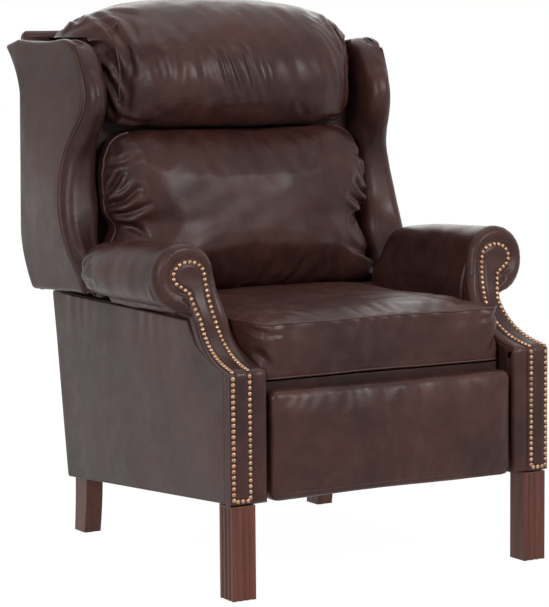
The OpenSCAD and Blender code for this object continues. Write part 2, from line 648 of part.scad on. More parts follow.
// Seat
frame_y0 = 45;
frame_end_gap = 20;
frame_y1 = hinge_y - frame_end_gap;
spring_room = 4;
frame_top = cushion_z - spring_room;
side_rail_h = 55;
module seat_side_rails() color(beech) both() block([plate_x, frame_y0, frame_top - side_rail_h],
    [plate_x + board_t, frame_y1, frame_top]);
flat_rail_d = 60;
flat_rail_h = 18;
rear_seat_rail_d = 30;
rear_seat_rail_h = 45;
rear_seat_rail_in = 10;
module seat_end_rails() color(beech) {
    block([-plate_in, frame_y0, frame_top - flat_rail_h], [plate_in, frame_y0 + flat_rail_d, frame_top]);
    block([-plate_in, frame_y1 - rear_seat_rail_d - rear_seat_rail_in, frame_top - rear_seat_rail_h],
        [plate_in, frame_y1 - rear_seat_rail_in, frame_top]);
}
wire_r = 1.6;
wire_sides = 6;
spring_bends = 24;
spring_swing = 22;
// A wire bent in waves along X, the waves lying in the XY plane
module wave_wire(length, swing, bends) {
    pts = [for (i = [0:bends])
        [length * i / bends, i == 0 || i == bends ? 0 : swing * (i % 2 == 0 ? 1 : -1)]];
    loft([for (i = [0:len(pts) - 1]) let (a = pts[max(0, i - 1)], b = pts[min(len(pts) - 1, i + 1)],
        d = (b - a) / norm(b - a))
        [for (k = [0:wire_sides - 1]) let (t = 360 * k / wire_sides)
            [pts[i][0] - d[1] * wire_r * cos(t), pts[i][1] + d[0] * wire_r * cos(t), wire_r * sin(t)]]]);
}
seat_spring_count = 5;
spring_margin_share = 0.6;
seat_spring_pitch = 2 * plate_in / (seat_spring_count + spring_margin_share);
module seat_springs() color(steel) for (i = [0:seat_spring_count - 1])
    translate([(i - (seat_spring_count - 1) / 2) * seat_spring_pitch, frame_y0 + flat_rail_d / 2,
        frame_top + wire_r]) rotate([0, 0, 90])
        wave_wire(frame_y1 - frame_y0 - (flat_rail_d + rear_seat_rail_d) / 2 - rear_seat_rail_in,
            spring_swing, spring_bends);

cushion_corner = 26;
cushion_pull = 5;
// Levels of the seat cushion: [inset in corner radii, height in the side, height in the crown]
seat_levels_share = [[0.5, 0, 0], [0.12, 0.03, 0], [0, 0.18, 0], [-0.06, 0.5, 0], [0, 0.85, 0], [0.1, 1, 0],
    [0.7, 1, 0.24], [2, 1, 0.52], [4.2, 1, 0.79], [6.8, 1, 0.94], [9.2, 1, 1]];
module seat_cushion() color(leather) translate([0, cushion_front + cushion_d / 2, cushion_z])
    loft([for (s = seat_levels_share) let (d = s[0] * cushion_corner)
        [for (p = soft_ring(inner_x - seat_gap - d, cushion_d / 2 - d,
                max(cushion_corner * 0.5, cushion_corner - d), cushion_pull * (1 - s[2])))
            [p[0], p[1], s[1] * cushion_side + s[2] * cushion_crown]]]);

// Back: frame, cushions and wings
bracket_t = 5;
back_bracket_x = plate_in - bracket_t - gap;
bracket_rise = 190;
bracket_step = 35;
hinge_pin_r = 6;
hinge_boss_r = 15;
stile_from_hinge = 40;
stile_y = hinge_y + stile_from_hinge;
stile_d = 40;
stile_w = 30;
stile_low = 415;
stile_out = back_bracket_x;
module back_brackets() color(steel) both() difference() {
    union() {
        pin(back_bracket_x, back_bracket_x + bracket_t, hinge_y, hinge_z, hinge_boss_r);
        slab(back_bracket_x, back_bracket_x + bracket_t, [
            [hinge_y - hinge_boss_r, hinge_z], [hinge_y + hinge_boss_r, hinge_z],
            [stile_y + stile_d, stile_low], [stile_y + stile_d, stile_low + bracket_rise],
            [stile_y, stile_low + bracket_rise], [stile_y, stile_low + bracket_step]]);
    }
    pin(back_bracket_x - over, back_bracket_x + bracket_t + over, hinge_y, hinge_z,
        hinge_pin_r + pin_gap);
}
frame_under_top = 28;
frame_head = back_top - frame_under_top;
module back_stiles() color(beech) both() block([stile_out - stile_w, stile_y, stile_low],
    [stile_out, stile_y + stile_d, frame_head]);
cross_y = stile_y + stile_d;
wing_board_t = 18;
wing_board_out = 50;
wing_board_x = inner_x + wing_board_out;
rail_deep = 25;
rail_tall = 60;
mid_rail_h = 45;
mid_rail_z = 664;
module back_cross_rails() color(beech) {
    for (z = [[frame_head - rail_tall, frame_head], [mid_rail_z, mid_rail_z + mid_rail_h]])
        block([-wing_board_x, cross_y, z[0]], [wing_board_x, cross_y + rail_deep, z[1]]);
    block([-(stile_out - stile_w), stile_y, stile_low],
        [stile_out - stile_w, stile_y + rail_deep, stile_low + rail_tall]);
}
// Edges of the back in side view
corner_h = 60;
corner_in = 30;
waist_h = 130;
horn_from_share = 0.78;
function back_line(z) = back_y - waist_in + waist_in * clamp01(2 - (z - back_low) / waist_h)
    + horn * pow(clamp01((z - lerp(back_low, back_top, horn_from_share))
        / ((back_top - back_low) * (1 - horn_from_share))), 1.6);
function rear_edge(z) = back_line(z) - corner_in * pow(clamp01(1 - (z - back_low) / corner_h), 2);
// Leather lining behind the cushions, in front of the springs
lining_t = 6;
lining_x = ear_x + over;
lining_rear = stile_y - 2 * wire_r;
lining_low = 470;
lining_step = 560;
lid_t = 4;
pad_over_board = 8;
pad_slope = 12;
lid_z = frame_head + seam;
lid_top = lid_z + lid_t;
pad_rear = back_y - skin_t - over;
lid_side = wing_board_x + pad_over_board - play;
lid_wide = wing_x - skin_t - play;
lid_back = back_line(lid_z) - skin_t - seam;
module inside_back() color(dark_leather) {
    block([-lining_x, lining_rear - lining_t, lining_step], [lining_x, lining_rear, lid_z]);
    block([-waist_x, lining_rear - lining_t, lining_low], [waist_x, lining_rear, lining_step]);
    translate([0, 0, lid_z]) linear_extrude(lid_t) for (side = [0, 1]) mirror([side, 0, 0])
        polygon([[0, lining_rear - lining_t], [lining_x, lining_rear - lining_t], [lining_x, cross_y],
            [lid_side, cross_y], [lid_side, pad_rear + seam], [lid_wide, pad_rear + seam],
            [lid_wide, lid_back], [0, lid_back]]);
}
back_spring_count = 5;
spring_end = 8;
back_spring_z = 500;
back_spring_pitch = 92;
module back_springs() color(steel) for (i = [0:back_spring_count - 1])
    translate([-stile_out + spring_end, stile_y - wire_r, back_spring_z + i * back_spring_pitch])
        rotate([90, 0, 0]) wave_wire(2 * (stile_out - spring_end), spring_swing, spring_bends - 2);

wave_top_z = 735;
wave_len = 360;
function front_edge(z) = wing_front + wing_wave * cos(360 * (z - wave_top_z) / wave_len);
nose_top_z = 650;
nose_len = 560;
function nose_x(z) = wing_x + nose_wave * cos(360 * (z - nose_top_z) / nose_len);
wing_low_front = 535;
nose_top = 978;
// Lower and upper edge of a wing at a depth
function wing_low(y) = lerp(wing_low_front, back_low + 1, clamp01((y - wing_front) / (back_y - wing_front)));
top_dip = 5;
horn_fall = 13;
shoulder = 75;
function wing_high(y) = back_top
    - (back_top - nose_top) * pow(clamp01(1 - (y - front_edge(nose_top)) / shoulder), 2)
    - top_dip * sin(180 * clamp01((y - front_edge(nose_top) - shoulder)
        / (back_y - front_edge(nose_top) - shoulder)))
    - horn_fall * clamp01((y - back_y) / horn);
// Outer surface of a wing
function outer_x(y, z) = lerp(nose_x(z), wing_x,
    clamp01((y - front_edge(z)) / (back_y - front_edge(z))));

back_steps = 14;
skin_top = back_top - skin_t;
skin_heights = [for (i = [0:back_steps]) lerp(back_low + play, skin_top, i / back_steps)];
module outside_back() color(leather) slab(-lid_wide, lid_wide, concat(
    [for (z = reversed(skin_heights)) [back_line(z) - skin_t, z]],
    [for (z = skin_heights) [back_line(z), z]]));
// Soft roll along the top of the outside back
top_roll_r = 16;
top_roll_y = back_line(skin_top) - skin_t / 2;
top_roll_side = 32;
module back_top_roll() color(leather) pin(-(wing_x - top_roll_side), wing_x - top_roll_side,
    top_roll_y, skin_top + top_roll_r, top_roll_r);

// Levels of the flap that hangs outside the arm, and of the pad that stands on the arm above it
flap_levels_share = [0, 0.03, 0.07, 0.1, 0.121];
pad_levels_share = [0.13, 0.2, 0.27, 0.34, 0.41, 0.48, 0.55, 0.62, 0.69, 0.76, 0.83, 0.89, 0.94, 0.971, 0.982,
    0.99, 0.997, 1];
wing_levels_share = concat(flap_levels_share, pad_levels_share);
// How far the middles of the faces between flap and pad are drawn in, which keeps them apart
hub_lift = 2;
// Rounding of the wing's top: inset at a share of the height
wing_crest = [[0.971, 0], [0.982, 2], [0.99, 4.5], [0.997, 9], [1, 14]];
nose_arc = [75, 45, 15, -15, -45, -75];
step_low_share = 0.125;
function wing_z(y, v) = lerp(wing_low(y), wing_high(y), v);
flap_in = wing_x - 2 * skin_t;
seam_back = 26;
nose_run = 8;
inner_rear_x = lining_x + play;
// Depth at which the wing's inner face meets the lining
function inner_face_y(yf) = max(lining_rear - lining_t, yf + nose_w / 2 + seam_back);
// Depths at which both the pad and its outer covering have their points, front to rear
side_stations_share = [0, 0.25, 0.5, 0.75, 1];
function side_ys(v) = let (yf = front_edge(wing_z(wing_front, v)) + seam_back,
        yr = min(pad_rear, rear_edge(wing_z(pad_rear, v)) - skin_t - over))
    [for (t = side_stations_share) lerp(yf, yr, t)];
// Ring of the wing pad at a share v of its height, counter-clockwise about +Z
function wing_ring(v) = let (zf = wing_z(wing_front, v), yf = front_edge(zf), xn = nose_x(zf),
        r = nose_w / 2, low = v <= step_low_share, ys = side_ys(v), yr = ys[len(ys) - 1],
        thin = v <= wing_crest[0][0] ? 0 : table(wing_crest, v),
        ri = low ? min(r, (xn - flap_in) / 2) : r,
        xi = low ? max(flap_in, xn - nose_w) : xn - nose_w,
        outer = [for (y = reversed(ys))
            [outer_x(y, wing_z(y, v)) - skin_t - 3 * seam - thin, y == ys[0] ? y - seam : y]],
        nose = [for (a = nose_arc)
            [xn - ri + ri * sin(a) - (a > 0 ? thin : -thin), yf + r * (1 - cos(a)) + thin]],
        inner = low ? concat([[xi, yf + r + nose_run]],
                [for (t = [0.3, 0.5, 0.7, 1]) [flap_in, lerp(yf + r, yr, t)]])
            : [[xi + thin, yf + r + nose_run], [inner_rear_x + thin, inner_face_y(yf)],
                [inner_rear_x + thin, cross_y - pad_slope], [wing_board_x + pad_over_board, cross_y - play],
                [wing_board_x + pad_over_board, yr]])
    [for (p = concat(outer, [[xn - thin, ys[0] - seam]], nose, inner)) [p[0], p[1], wing_z(p[1], v)]];
// Middle of the nose at a share v, lifted by d: from there the whole ring can be seen
function nose_hub(v, d) = let (zf = wing_z(wing_front, v), y = front_edge(zf) + nose_w / 2)
    [nose_x(zf) - nose_w / 2, y, wing_z(y, v) + d];
board_front = 34;
board_low = 612;
board_high = 975;
board_skin = 8;
board_crest = 20;
// Front edge of the wing's board, kept inside the padding
function board_y(z) = let (xi = nose_x(z) - nose_w, y0 = front_edge(z) + board_front)
    lerp(y0, inner_face_y(front_edge(z)), clamp01((xi - wing_board_x + board_skin) / (xi - inner_rear_x)));
board_rear = pad_rear - nose_run;
board_steps = 10;
module wing_board_shape(grow, rear) slab(wing_board_x - grow, wing_board_x + wing_board_t + grow, concat(
    [[board_y(board_low) - grow, board_low - grow], [rear, board_low - grow], [rear, board_high + grow],
        [board_y(board_high) + board_crest - grow, board_high + grow]],
    [for (i = [board_steps - 1:-1:1]) let (z = lerp(board_low, board_high, i / board_steps))
        [board_y(z) - grow, z]]));
module wing_board() color(beech) wing_board_shape(0, board_rear);
module wing() color(leather) difference() {
    union() for (e = [[flap_levels_share, 0, -hub_lift], [pad_levels_share, hub_lift, 0]])
        let (rings = [for (v = e[0]) wing_ring_up(v)])
            loft(rings, [e[1] == 0 ? mean(rings[0]) : nose_hub(e[0][0], e[1]),
                e[2] == 0 ? mean(rings[len(rings) - 1]) : nose_hub(e[0][len(e[0]) - 1], e[2])]);
    wing_board_shape(seam, board_rear + seam);
}
function wing_ring_up(v) = let (r = wing_ring(v)) [for (i = [len(r) - 1:-1:0]) r[i]];
skin_edge = 4;
// Point of the outer covering at depth y and share v, set in by d
function skin_point(y, v, d) = [outer_x(y, wing_z(y, v)) - d, y, wing_z(y, v)];
function skin_ring(v) = let (ys = concat(side_ys(v), [rear_edge(wing_z(back_y, v))]), thin = v == 1 ? skin_edge : 0)
    concat([for (y = ys) skin_point(y, v, thin)],
        [for (y = reversed(ys)) skin_point(y == ys[0] ? y + skin_edge : y, v, skin_t - thin / 2)]);
module outside_wing() color(leather) loft([for (v = wing_levels_share) skin_ring(v)]);

// Lumbar cushion: an upright pad, narrow between the arms and wide above them
lumbar_rise = 1.5;
lumbar_low = cushion_z + cushion_side + lumbar_rise;
waist_x = inner_x - seat_gap;
lumbar_outline_share = [[0, 0.93], [0.05, 0.99], [0.25, 1], [0.43, 1], [0.47, 1.04], [0.5, 1.12], [0.56, 1.135],
    [0.66, 1.13], [0.76, 1.08], [0.87, 0.97], [0.95, 0.82], [1, 0.55]];
function lumbar_half(z) = let (s = (z - lumbar_low) / (lumbar_top - lumbar_low))
    min(ear_x, table(lumbar_outline_share, s) * waist_x);
lumbar_side = 15;
lumbar_heights = [for (i = [0:lumbar_side]) lerp(lumbar_low, lumbar_top, i / lumbar_side)];
function lumbar_outline() = concat([for (z = lumbar_heights) [lumbar_half(z), z]],
    [for (z = reversed(lumbar_heights)) [-lumbar_half(z), z]]);
lumbar_mid = [0, lerp(lumbar_low, lumbar_top, 0.5)];
// Levels of the lumbar cushion from its rear face to its crown: [outline, thickness]
lumbar_levels_share = [[0.9, 0], [0.97, 0.08], [1, 0.25], [1, 0.42], [0.975, 0.58], [0.92, 0.72], [0.82, 0.83],
    [0.68, 0.91], [0.5, 0.965], [0.25, 1]];
lumbar_rear = lining_rear - lining_t - seam;
lean_share = 0.16;
module back_cushion() color(leather) loft([for (s = lumbar_levels_share) [for (p = lumbar_outline())
    let (q = lumbar_mid + (p - lumbar_mid) * s[0])
        [q[0], lumbar_rear - s[1] * lumbar_t + lean_share * s[1] * (q[1] - lumbar_mid[1]), q[1]]]]);

// Head pillow: a long soft roll that hangs in front of the back and lies over its top
pillow_low = lumbar_top + lumbar_rise;
pillow_before_wing = 70;
pillow_front = wing_front - pillow_before_wing;
pillow_rear = top_roll_y - top_roll_r - play;
pillow_neck = (lumbar_rear - pillow_front) / (pillow_rear - pillow_front);
pillow_seat = (lid_top + seam - pillow_low) / (pillow_top - pillow_low);
// Its side outline as shares of its depth and height, from the rear of its underside round the front
pillow_front_share = [[0.9, 0.015], [0.62, 0.0], [0.36, 0.03], [0.14, 0.12], [0.01, 0.28], [0.02, 0.46]];
pillow_top_share = [[0.06, 0.63], [0.155, 0.79], [0.29, 0.91], [0.46, 0.98], [0.62, 1.0], [0.78, 0.975],
    [0.91, 0.91], [0.985, 0.82], [1.0, 0.745], [0.96, 0.69]];
pillow_ends_share = [[-1, 0.62], [-0.985, 0.78], [-0.94, 0.89], [-0.84, 0.96], [-0.62, 0.99], [-0.3, 1], [0, 1],
    [0.3, 1], [0.62, 0.99], [0.84, 0.96], [0.94, 0.89], [0.985, 0.78], [1, 0.62]];
pillow_heart_share = [0.36, 0.5];
function pillow_outline(k) = concat(
    [for (p = pillow_front_share)
        [lerp(pillow_neck, p[0] * pillow_neck, k), lerp(pillow_heart_share[1], p[1], k)]],
    [for (p = pillow_top_share) [lerp(pillow_heart_share[0], p[0], k), lerp(pillow_seat, p[1], k)]],
    [[0.8, pillow_seat], [0.62, pillow_seat], [pillow_neck, pillow_seat], [pillow_neck, lerp(pillow_seat, pillow_heart_share[1], 0.5)], [pillow_neck, pillow_heart_share[1]]]);
pillow_hub_share = [-0.03, 0.04];
function pillow_point(x, p) =
    [x * pillow_x, lerp(pillow_front, pillow_rear, p[0]), lerp(pillow_low, pillow_top, p[1])];
module head_pillow() color(leather)
    loft([for (e = pillow_ends_share) [for (p = pillow_outline(e[1])) pillow_point(e[0], p)]],
        [for (x = [-1, 1]) pillow_point(x, [pillow_neck, pillow_seat] + pillow_hub_share)]);

placed() front_leg();  // front_leg_left
placed() right_hand() front_leg();  // front_leg_right
placed() rear_leg();  // rear_leg_left
placed() right_hand() rear_leg();  // rear_leg_right
placed() leg_glides();
placed() leg_bolts();
placed() side_rail();  // side_rail_left
placed() right_hand() side_rail();  // side_rail_right
placed() front_rail();
placed() rear_rail();
placed() rear_posts();
placed() arm_stump();  // arm_stump_left
placed() right_hand() arm_stump();  // arm_stump_right
placed() arm_rails();
placed() side_panel();  // side_panel_left
placed() right_hand() side_panel();  // side_panel_right
placed() arm_roll();  // arm_roll_left
placed() right_hand() arm_roll();  // arm_roll_right
placed() inside_arm();  // inside_arm_left
placed() right_hand() inside_arm();  // inside_arm_right
placed() arm_front();  // arm_front_left
placed() right_hand() arm_front();  // arm_front_right
placed() arm_facing();  // arm_facing_left
placed() right_hand() arm_facing();  // arm_facing_right
placed() nail_trim();  // nail_trim_left
placed() right_hand() nail_trim();  // nail_trim_right
placed() base_back_panel();
placed() dust_cover();
placed() mechanism_rail();  // mechanism_rail_left
placed() right_hand() mechanism_rail();  // mechanism_rail_right
placed() mechanism_plate();  // mechanism_plate_left
placed() right_hand() mechanism_plate();  // mechanism_plate_right
placed() slide_shoes();
placed() seat_side_rails();
placed() seat_end_rails();
placed() seat_springs();
placed() seat_cushion();
placed() torque_rod();
placed() rear_links();
placed() rear_cross_links();
placed() front_links();
placed() front_cross_links();
placed() footrest_brackets();
placed() footrest_board();
placed() footrest_pad();
placed() back_brackets();
placed() back_stiles();
placed() back_cross_rails();
placed() inside_back();
placed() back_springs();
placed() outside_back();
placed() back_top_roll();
placed() back_cushion();
placed() head_pillow();
placed() wing_board();  // wing_board_left
placed() right_hand() wing_board();  // wing_board_right
placed() wing();  // wing_left
placed() right_hand() wing();  // wing_right
placed() outside_wing();  // outside_wing_left
placed() right_hand() outside_wing();  // outside_wing_right
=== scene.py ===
"""Looks of a high-leg wing recliner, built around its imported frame.

Metres, +Z up, the chair faces -Y and +X is the sitter's left. Soft pieces are drawn from the fronts of the arm
posts back, as the frame's own source draws them, and then moved by ROW_SHIFT over the frame's origin.
"""

from __future__ import annotations

import json
import logging
import math
from dataclasses import dataclass, field
from enum import Enum
from typing import Callable, Sequence

import bpy
import numpy as np
from mathutils import Matrix, Vector
from mathutils.kdtree import KDTree

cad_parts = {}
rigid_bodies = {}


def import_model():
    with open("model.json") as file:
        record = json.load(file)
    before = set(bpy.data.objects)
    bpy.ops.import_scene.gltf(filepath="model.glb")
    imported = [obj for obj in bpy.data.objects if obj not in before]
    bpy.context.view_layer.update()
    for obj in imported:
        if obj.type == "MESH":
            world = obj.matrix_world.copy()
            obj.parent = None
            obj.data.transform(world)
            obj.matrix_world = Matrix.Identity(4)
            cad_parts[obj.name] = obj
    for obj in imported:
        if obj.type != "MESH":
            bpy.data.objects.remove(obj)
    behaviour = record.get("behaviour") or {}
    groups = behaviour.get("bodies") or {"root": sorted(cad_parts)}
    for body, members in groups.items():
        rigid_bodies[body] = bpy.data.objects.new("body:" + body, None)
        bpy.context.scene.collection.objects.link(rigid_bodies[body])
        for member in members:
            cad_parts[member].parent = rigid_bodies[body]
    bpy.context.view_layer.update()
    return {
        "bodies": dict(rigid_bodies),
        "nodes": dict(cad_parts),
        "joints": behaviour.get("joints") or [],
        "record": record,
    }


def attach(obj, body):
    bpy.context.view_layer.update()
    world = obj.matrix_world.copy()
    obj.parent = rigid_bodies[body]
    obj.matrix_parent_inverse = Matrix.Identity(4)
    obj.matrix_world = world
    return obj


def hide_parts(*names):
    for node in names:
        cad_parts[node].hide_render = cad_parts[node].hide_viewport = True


LOG = logging.getLogger("wing_recliner")
ROW_SHIFT = -0.447
SEAM_STEP = 0.004
WELT_STEP = 0.006
WELT_R = 0.0022
Array = np.ndarray
Colour = tuple[float, float, float]


class Side(Enum):
    """The two sides of the chair, as the sitter has them, with the sign of their X."""

    LEFT = 1
    RIGHT = -1

    @property
    def word(self) -> str:
        """The side's word in a piece's name."""
        return self.name.lower()


class Body(Enum):
    """The frame's bodies that soft pieces ride on."""

    BASE = "base"
    SEAT = "seat_carriage"
    FOOTREST = "footrest"
    BACK = "reclining_back"


# ---- Numbers


def lerp(a: Array | float, b: Array | float, t: Array | float) -> Array | float:
    """A value that runs from a to b as t runs from 0 to 1."""
    return a + (b - a) * t


def ease(t: Array | float) -> Array:
    """A smooth step from 0 to 1."""
    c = np.clip(t, 0.0, 1.0)
    return c * c * (3 - 2 * c)


def curve_through(rows: Sequence[Sequence[float]], x: Array | float) -> Array:
    """Value of a table of places and values.

    Args:
        rows: pairs of a place and a value, the places rising.
        x: where the value is wanted.

    Returns:
        The value at each x, held at the table's ends.
    """
    table = np.asarray(rows, float)
    return np.interp(x, table[:, 0], table[:, 1])


def open_spline(points: Array, count: int) -> Array:
    """Smooth open line through points.

    Args:
        points: the places that it passes, in order.
        count: how many points the finer line has.

    Returns:
        The finer line, from the first place to the last.
    """
    pts = np.asarray(points, float)
    ends = np.vstack([2 * pts[0] - pts[1], pts, 2 * pts[-1] - pts[-2]])
    place = np.linspace(0, len(pts) - 1, count)
    i = np.minimum(place.astype(int), len(pts) - 2)
    t = (place - i)[:, None]
    p0, p1, p2, p3 = ends[i], ends[i + 1], ends[i + 2], ends[i + 3]
    return 0.5 * (
        2 * p1 + (p2 - p0) * t + (2 * p0 - 5 * p1 + 4 * p2 - p3) * t**2 + (3 * p1 - p0 - 3 * p2 + p3) * t**3
    )


def even_line(points: Array, step: float, closed: bool = False) -> Array:
    """Points at even steps along a line.

    Args:
        points: the line's own points.
        step: the wanted distance between neighbours.
        closed: whether the line returns to its start.

    Returns:
        The evenly spaced points.
    """
    pts = np.vstack([points, points[:1]]) if closed else np.asarray(points, float)
    run = np.concatenate([[0], np.cumsum(np.linalg.norm(np.diff(pts, axis=0), axis=1))])
    count = max(2, int(round(run[-1] / step)) + 1)
    s = np.linspace(0, run[-1], count)
    out = np.column_stack([np.interp(s, run, pts[:, k]) for k in range(pts.shape[1])])
    return out[:-1] if closed else out


def stepped(corners: Sequence[Array], count: int) -> Array:
    """Straight runs from corner to corner, split evenly, without the first corner.

    Args:
        corners: two or more places.
        count: the points of a run, both its ends included.

    Returns:
        The points of all runs.
    """
    places = [np.asarray(corner) for corner in corners]
    steps = np.linspace(0, 1, count)[1:, None]
    return np.vstack([lerp(a, b, steps) for a, b in zip(places[:-1], places[1:])])


def both_sides(x: Array, y: Array, z: Array) -> list[tuple[Array, bool]]:
    """An open line for piping on the left, and its mirror image on the right."""
    return [(np.column_stack([k * x, y, z]), False) for k in (1, -1)]


def nearest(points: Array, lines: Sequence[Array]) -> Array:
    """Distance from each point to the nearest of some densely spaced line points.

    Args:
        points: the places asked about.
        lines: arrays of points, each a few millimetres from the next.

    Returns:
        One distance for each point.
    """
    marks = np.vstack(list(lines))
    tree = KDTree(len(marks))
    for i, mark in enumerate(marks):
        tree.insert(tuple(float(c) for c in mark) if len(mark) == 3 else (float(mark[0]), float(mark[1]), 0.0), i)
    tree.balance()
    flat = points.shape[1] == 2
    return np.array([tree.find((p[0], p[1], 0.0) if flat else p)[2] for p in points])


def wander(points: Array, seed: int, scale: float, count: int = 7) -> Array:
    """A smooth value that wanders over space, for slight unevenness.

    Args:
        points: where the value is wanted.
        seed: picks the pattern.
        scale: radians of change for each metre.
        count: how many waves are added up.

    Returns:
        Values that mostly lie between -1 and 1.
    """
    rng = np.random.default_rng(seed)
    total = np.zeros(len(points))
    for _ in range(count):
        way = rng.normal(size=points.shape[1])
        way /= np.linalg.norm(way)
        total += np.sin(points @ way * scale * rng.uniform(0.6, 1.5) + rng.uniform(0, 2 * math.pi))
    return total / math.sqrt(count)


# ---- Mesh work


class Workbench:
    """Blender's own tools, each used with nothing else selected."""

    @staticmethod
    def take(*objects: bpy.types.Object) -> bpy.types.Object:
        """Selects only these objects.

        Args:
            objects: what to select; the first becomes active.

        Returns:
            The active object.
        """
        if bpy.context.mode != "OBJECT":
            bpy.ops.object.mode_set(mode="OBJECT")
        bpy.ops.object.select_all(action="DESELECT")
        for obj in objects:
            obj.select_set(True)
        bpy.context.view_layer.objects.active = objects[0]
        return objects[0]

    @staticmethod
    def points(obj: bpy.types.Object) -> Array:
        """The object's points as an array."""
        co = np.zeros(len(obj.data.vertices) * 3)
        obj.data.vertices.foreach_get("co", co)
        return co.reshape(-1, 3)

    @staticmethod
    def place(obj: bpy.types.Object, points: Array) -> None:
        """Moves the object's points to the given places."""
        obj.data.vertices.foreach_set("co", np.ascontiguousarray(points, dtype=np.float32).ravel())
        obj.data.update()

    @staticmethod
    def normals(obj: bpy.types.Object) -> Array:
        """The unit normal at each of the object's points."""
        out = np.zeros(len(obj.data.vertices) * 3)
        obj.data.vertex_normals.foreach_get("vector", out)
        return out.reshape(-1, 3)

    @classmethod
    def sheet_of(cls, name: str, table: Array) -> bpy.types.Object:
        """Moulds a grid to a table of places.

        Args:
            name: the object's name.
            table: places, rows by columns by three.

        Returns:
            The grid, its points where the table says.
        """
        rows, columns = table.shape[:2]
        bpy.ops.object.select_all(action="DESELECT")
        bpy.ops.mesh.primitive_grid_add(x_subdivisions=columns - 1, y_subdivisions=rows - 1, size=1.0)
        obj = bpy.context.active_object
        obj.name = name
        share = cls.points(obj)[:, :2] + 0.5
        i = np.rint(share[:, 0] * (columns - 1)).astype(int)
        j = np.rint(share[:, 1] * (rows - 1)).astype(int)
        cls.place(obj, table[j, i])
        return obj

    @staticmethod
    def laid_on(obj: bpy.types.Object, line: Array, lift: float = 0.0) -> Array:
        """Lays a line's points on a surface.

        Args:
            obj: the surface.
            line: the points, near it.
            lift: how far they then stand out from it.

        Returns:
            The points on the surface.
        """
        bpy.context.view_layer.update()
        found = [obj.closest_point_on_mesh(Vector(p)) for p in line]
        return np.array([tuple(at + way * lift) for _, at, way, _ in found])

    @classmethod
    def weld(cls, obj: bpy.types.Object, reach: float = 2e-5) -> None:
        """Merges doubles and turns every face outwards."""
        cls.take(obj)
        bpy.ops.object.mode_set(mode="EDIT")
        bpy.ops.mesh.select_all(action="SELECT")
        bpy.ops.mesh.remove_doubles(threshold=reach)
        bpy.ops.mesh.dissolve_degenerate(threshold=1e-6)
        bpy.ops.mesh.normals_make_consistent(inside=False)
        bpy.ops.object.mode_set(mode="OBJECT")

    @classmethod
    def join(cls, name: str, objects: Sequence[bpy.types.Object]) -> bpy.types.Object:
        """Makes one object of several.

        Args:
            name: the joined object's name.
            objects: what is joined.

        Returns:
            The joined object.
        """
        joined = cls.take(*objects)
        if len(objects) > 1:
            bpy.ops.object.join()
        joined.name = name
        return joined

    @classmethod
    def loft(cls, name: str, rings: Array, hubs: Sequence[Array] | None = None) -> bpy.types.Object:
        """A closed skin through equal rings.

        Args:
            name: the object's name.
            rings: rings by points by three, each ring running round the form.
            hubs: the points that the two end faces close to, if not the rings' middles.

        Returns:
            The skin, closed at both ends.
        """
        ends = hubs if hubs is not None else (rings[0].mean(0), rings[-1].mean(0))
        shares = (0.0, 0.3, 0.6, 0.85)
        first = [lerp(ends[0], rings[0], k) for k in shares]
        last = [lerp(ends[1], rings[-1], k) for k in reversed(shares)]
        table = np.array([*first, *rings, *last])
        obj = cls.sheet_of(name, np.concatenate([table, table[:, :1]], axis=1))
        cls.weld(obj)
        return obj

    @classmethod
    def apply(cls, obj: bpy.types.Object, kind: str, **settings: object) -> None:
        """Adds a modifier with the given settings and applies it.

        Args:
            obj: the object that is changed.
            kind: Blender's word for the modifier.
            settings: values for the modifier's properties.
        """
        cls.take(obj)
        modifier = obj.modifiers.new(kind.title(), kind)
        for key, value in settings.items():
            setattr(modifier, key, value)
        bpy.ops.object.modifier_apply(modifier=modifier.name)

    @classmethod
    def remould(cls, obj: bpy.types.Object, voxel: float, smooth: int) -> None:
        """Gives the object an even skin of small faces, and smooths it."""
        cls.take(obj)
        obj.data.remesh_voxel_size = voxel
        bpy.ops.object.voxel_remesh()
        cls.apply(obj, "SMOOTH", factor=0.5, iterations=smooth)

    @classmethod
    def refine(cls, obj: bpy.types.Object, levels: int = 1) -> None:
        """Subdivides the whole object smoothly."""
        cls.apply(obj, "SUBSURF", levels=levels, render_levels=levels)

    @classmethod
    def piping(cls, name: str, lines: Sequence[tuple[Array, bool]], radius: float) -> bpy.types.Object:
        """Round leather piping along seams.

        Args:
            name: the object's name.
            lines: each seam's points, and whether it closes on itself.
            radius: the piping's radius.

        Returns:
            The piping as one mesh.
        """
        data = bpy.data.curves.new(name, "CURVE")
        data.dimensions = "3D"
        data.bevel_depth = radius
        data.bevel_resolution = 2
        data.use_fill_caps = True
        for line, closed in lines:
            spline = data.splines.new("POLY")
            spline.points.add(len(line) - 1)
            spline.points.foreach_set("co", np.column_stack([line, np.ones(len(line))]).ravel())
            spline.use_cyclic_u = closed
        obj = bpy.data.objects.new(name, data)
        bpy.context.scene.collection.objects.link(obj)
        cls.take(obj)
        bpy.ops.object.convert(target="MESH")
        obj = bpy.context.active_object
        obj.name = name
        cls.weld(obj)
        return obj


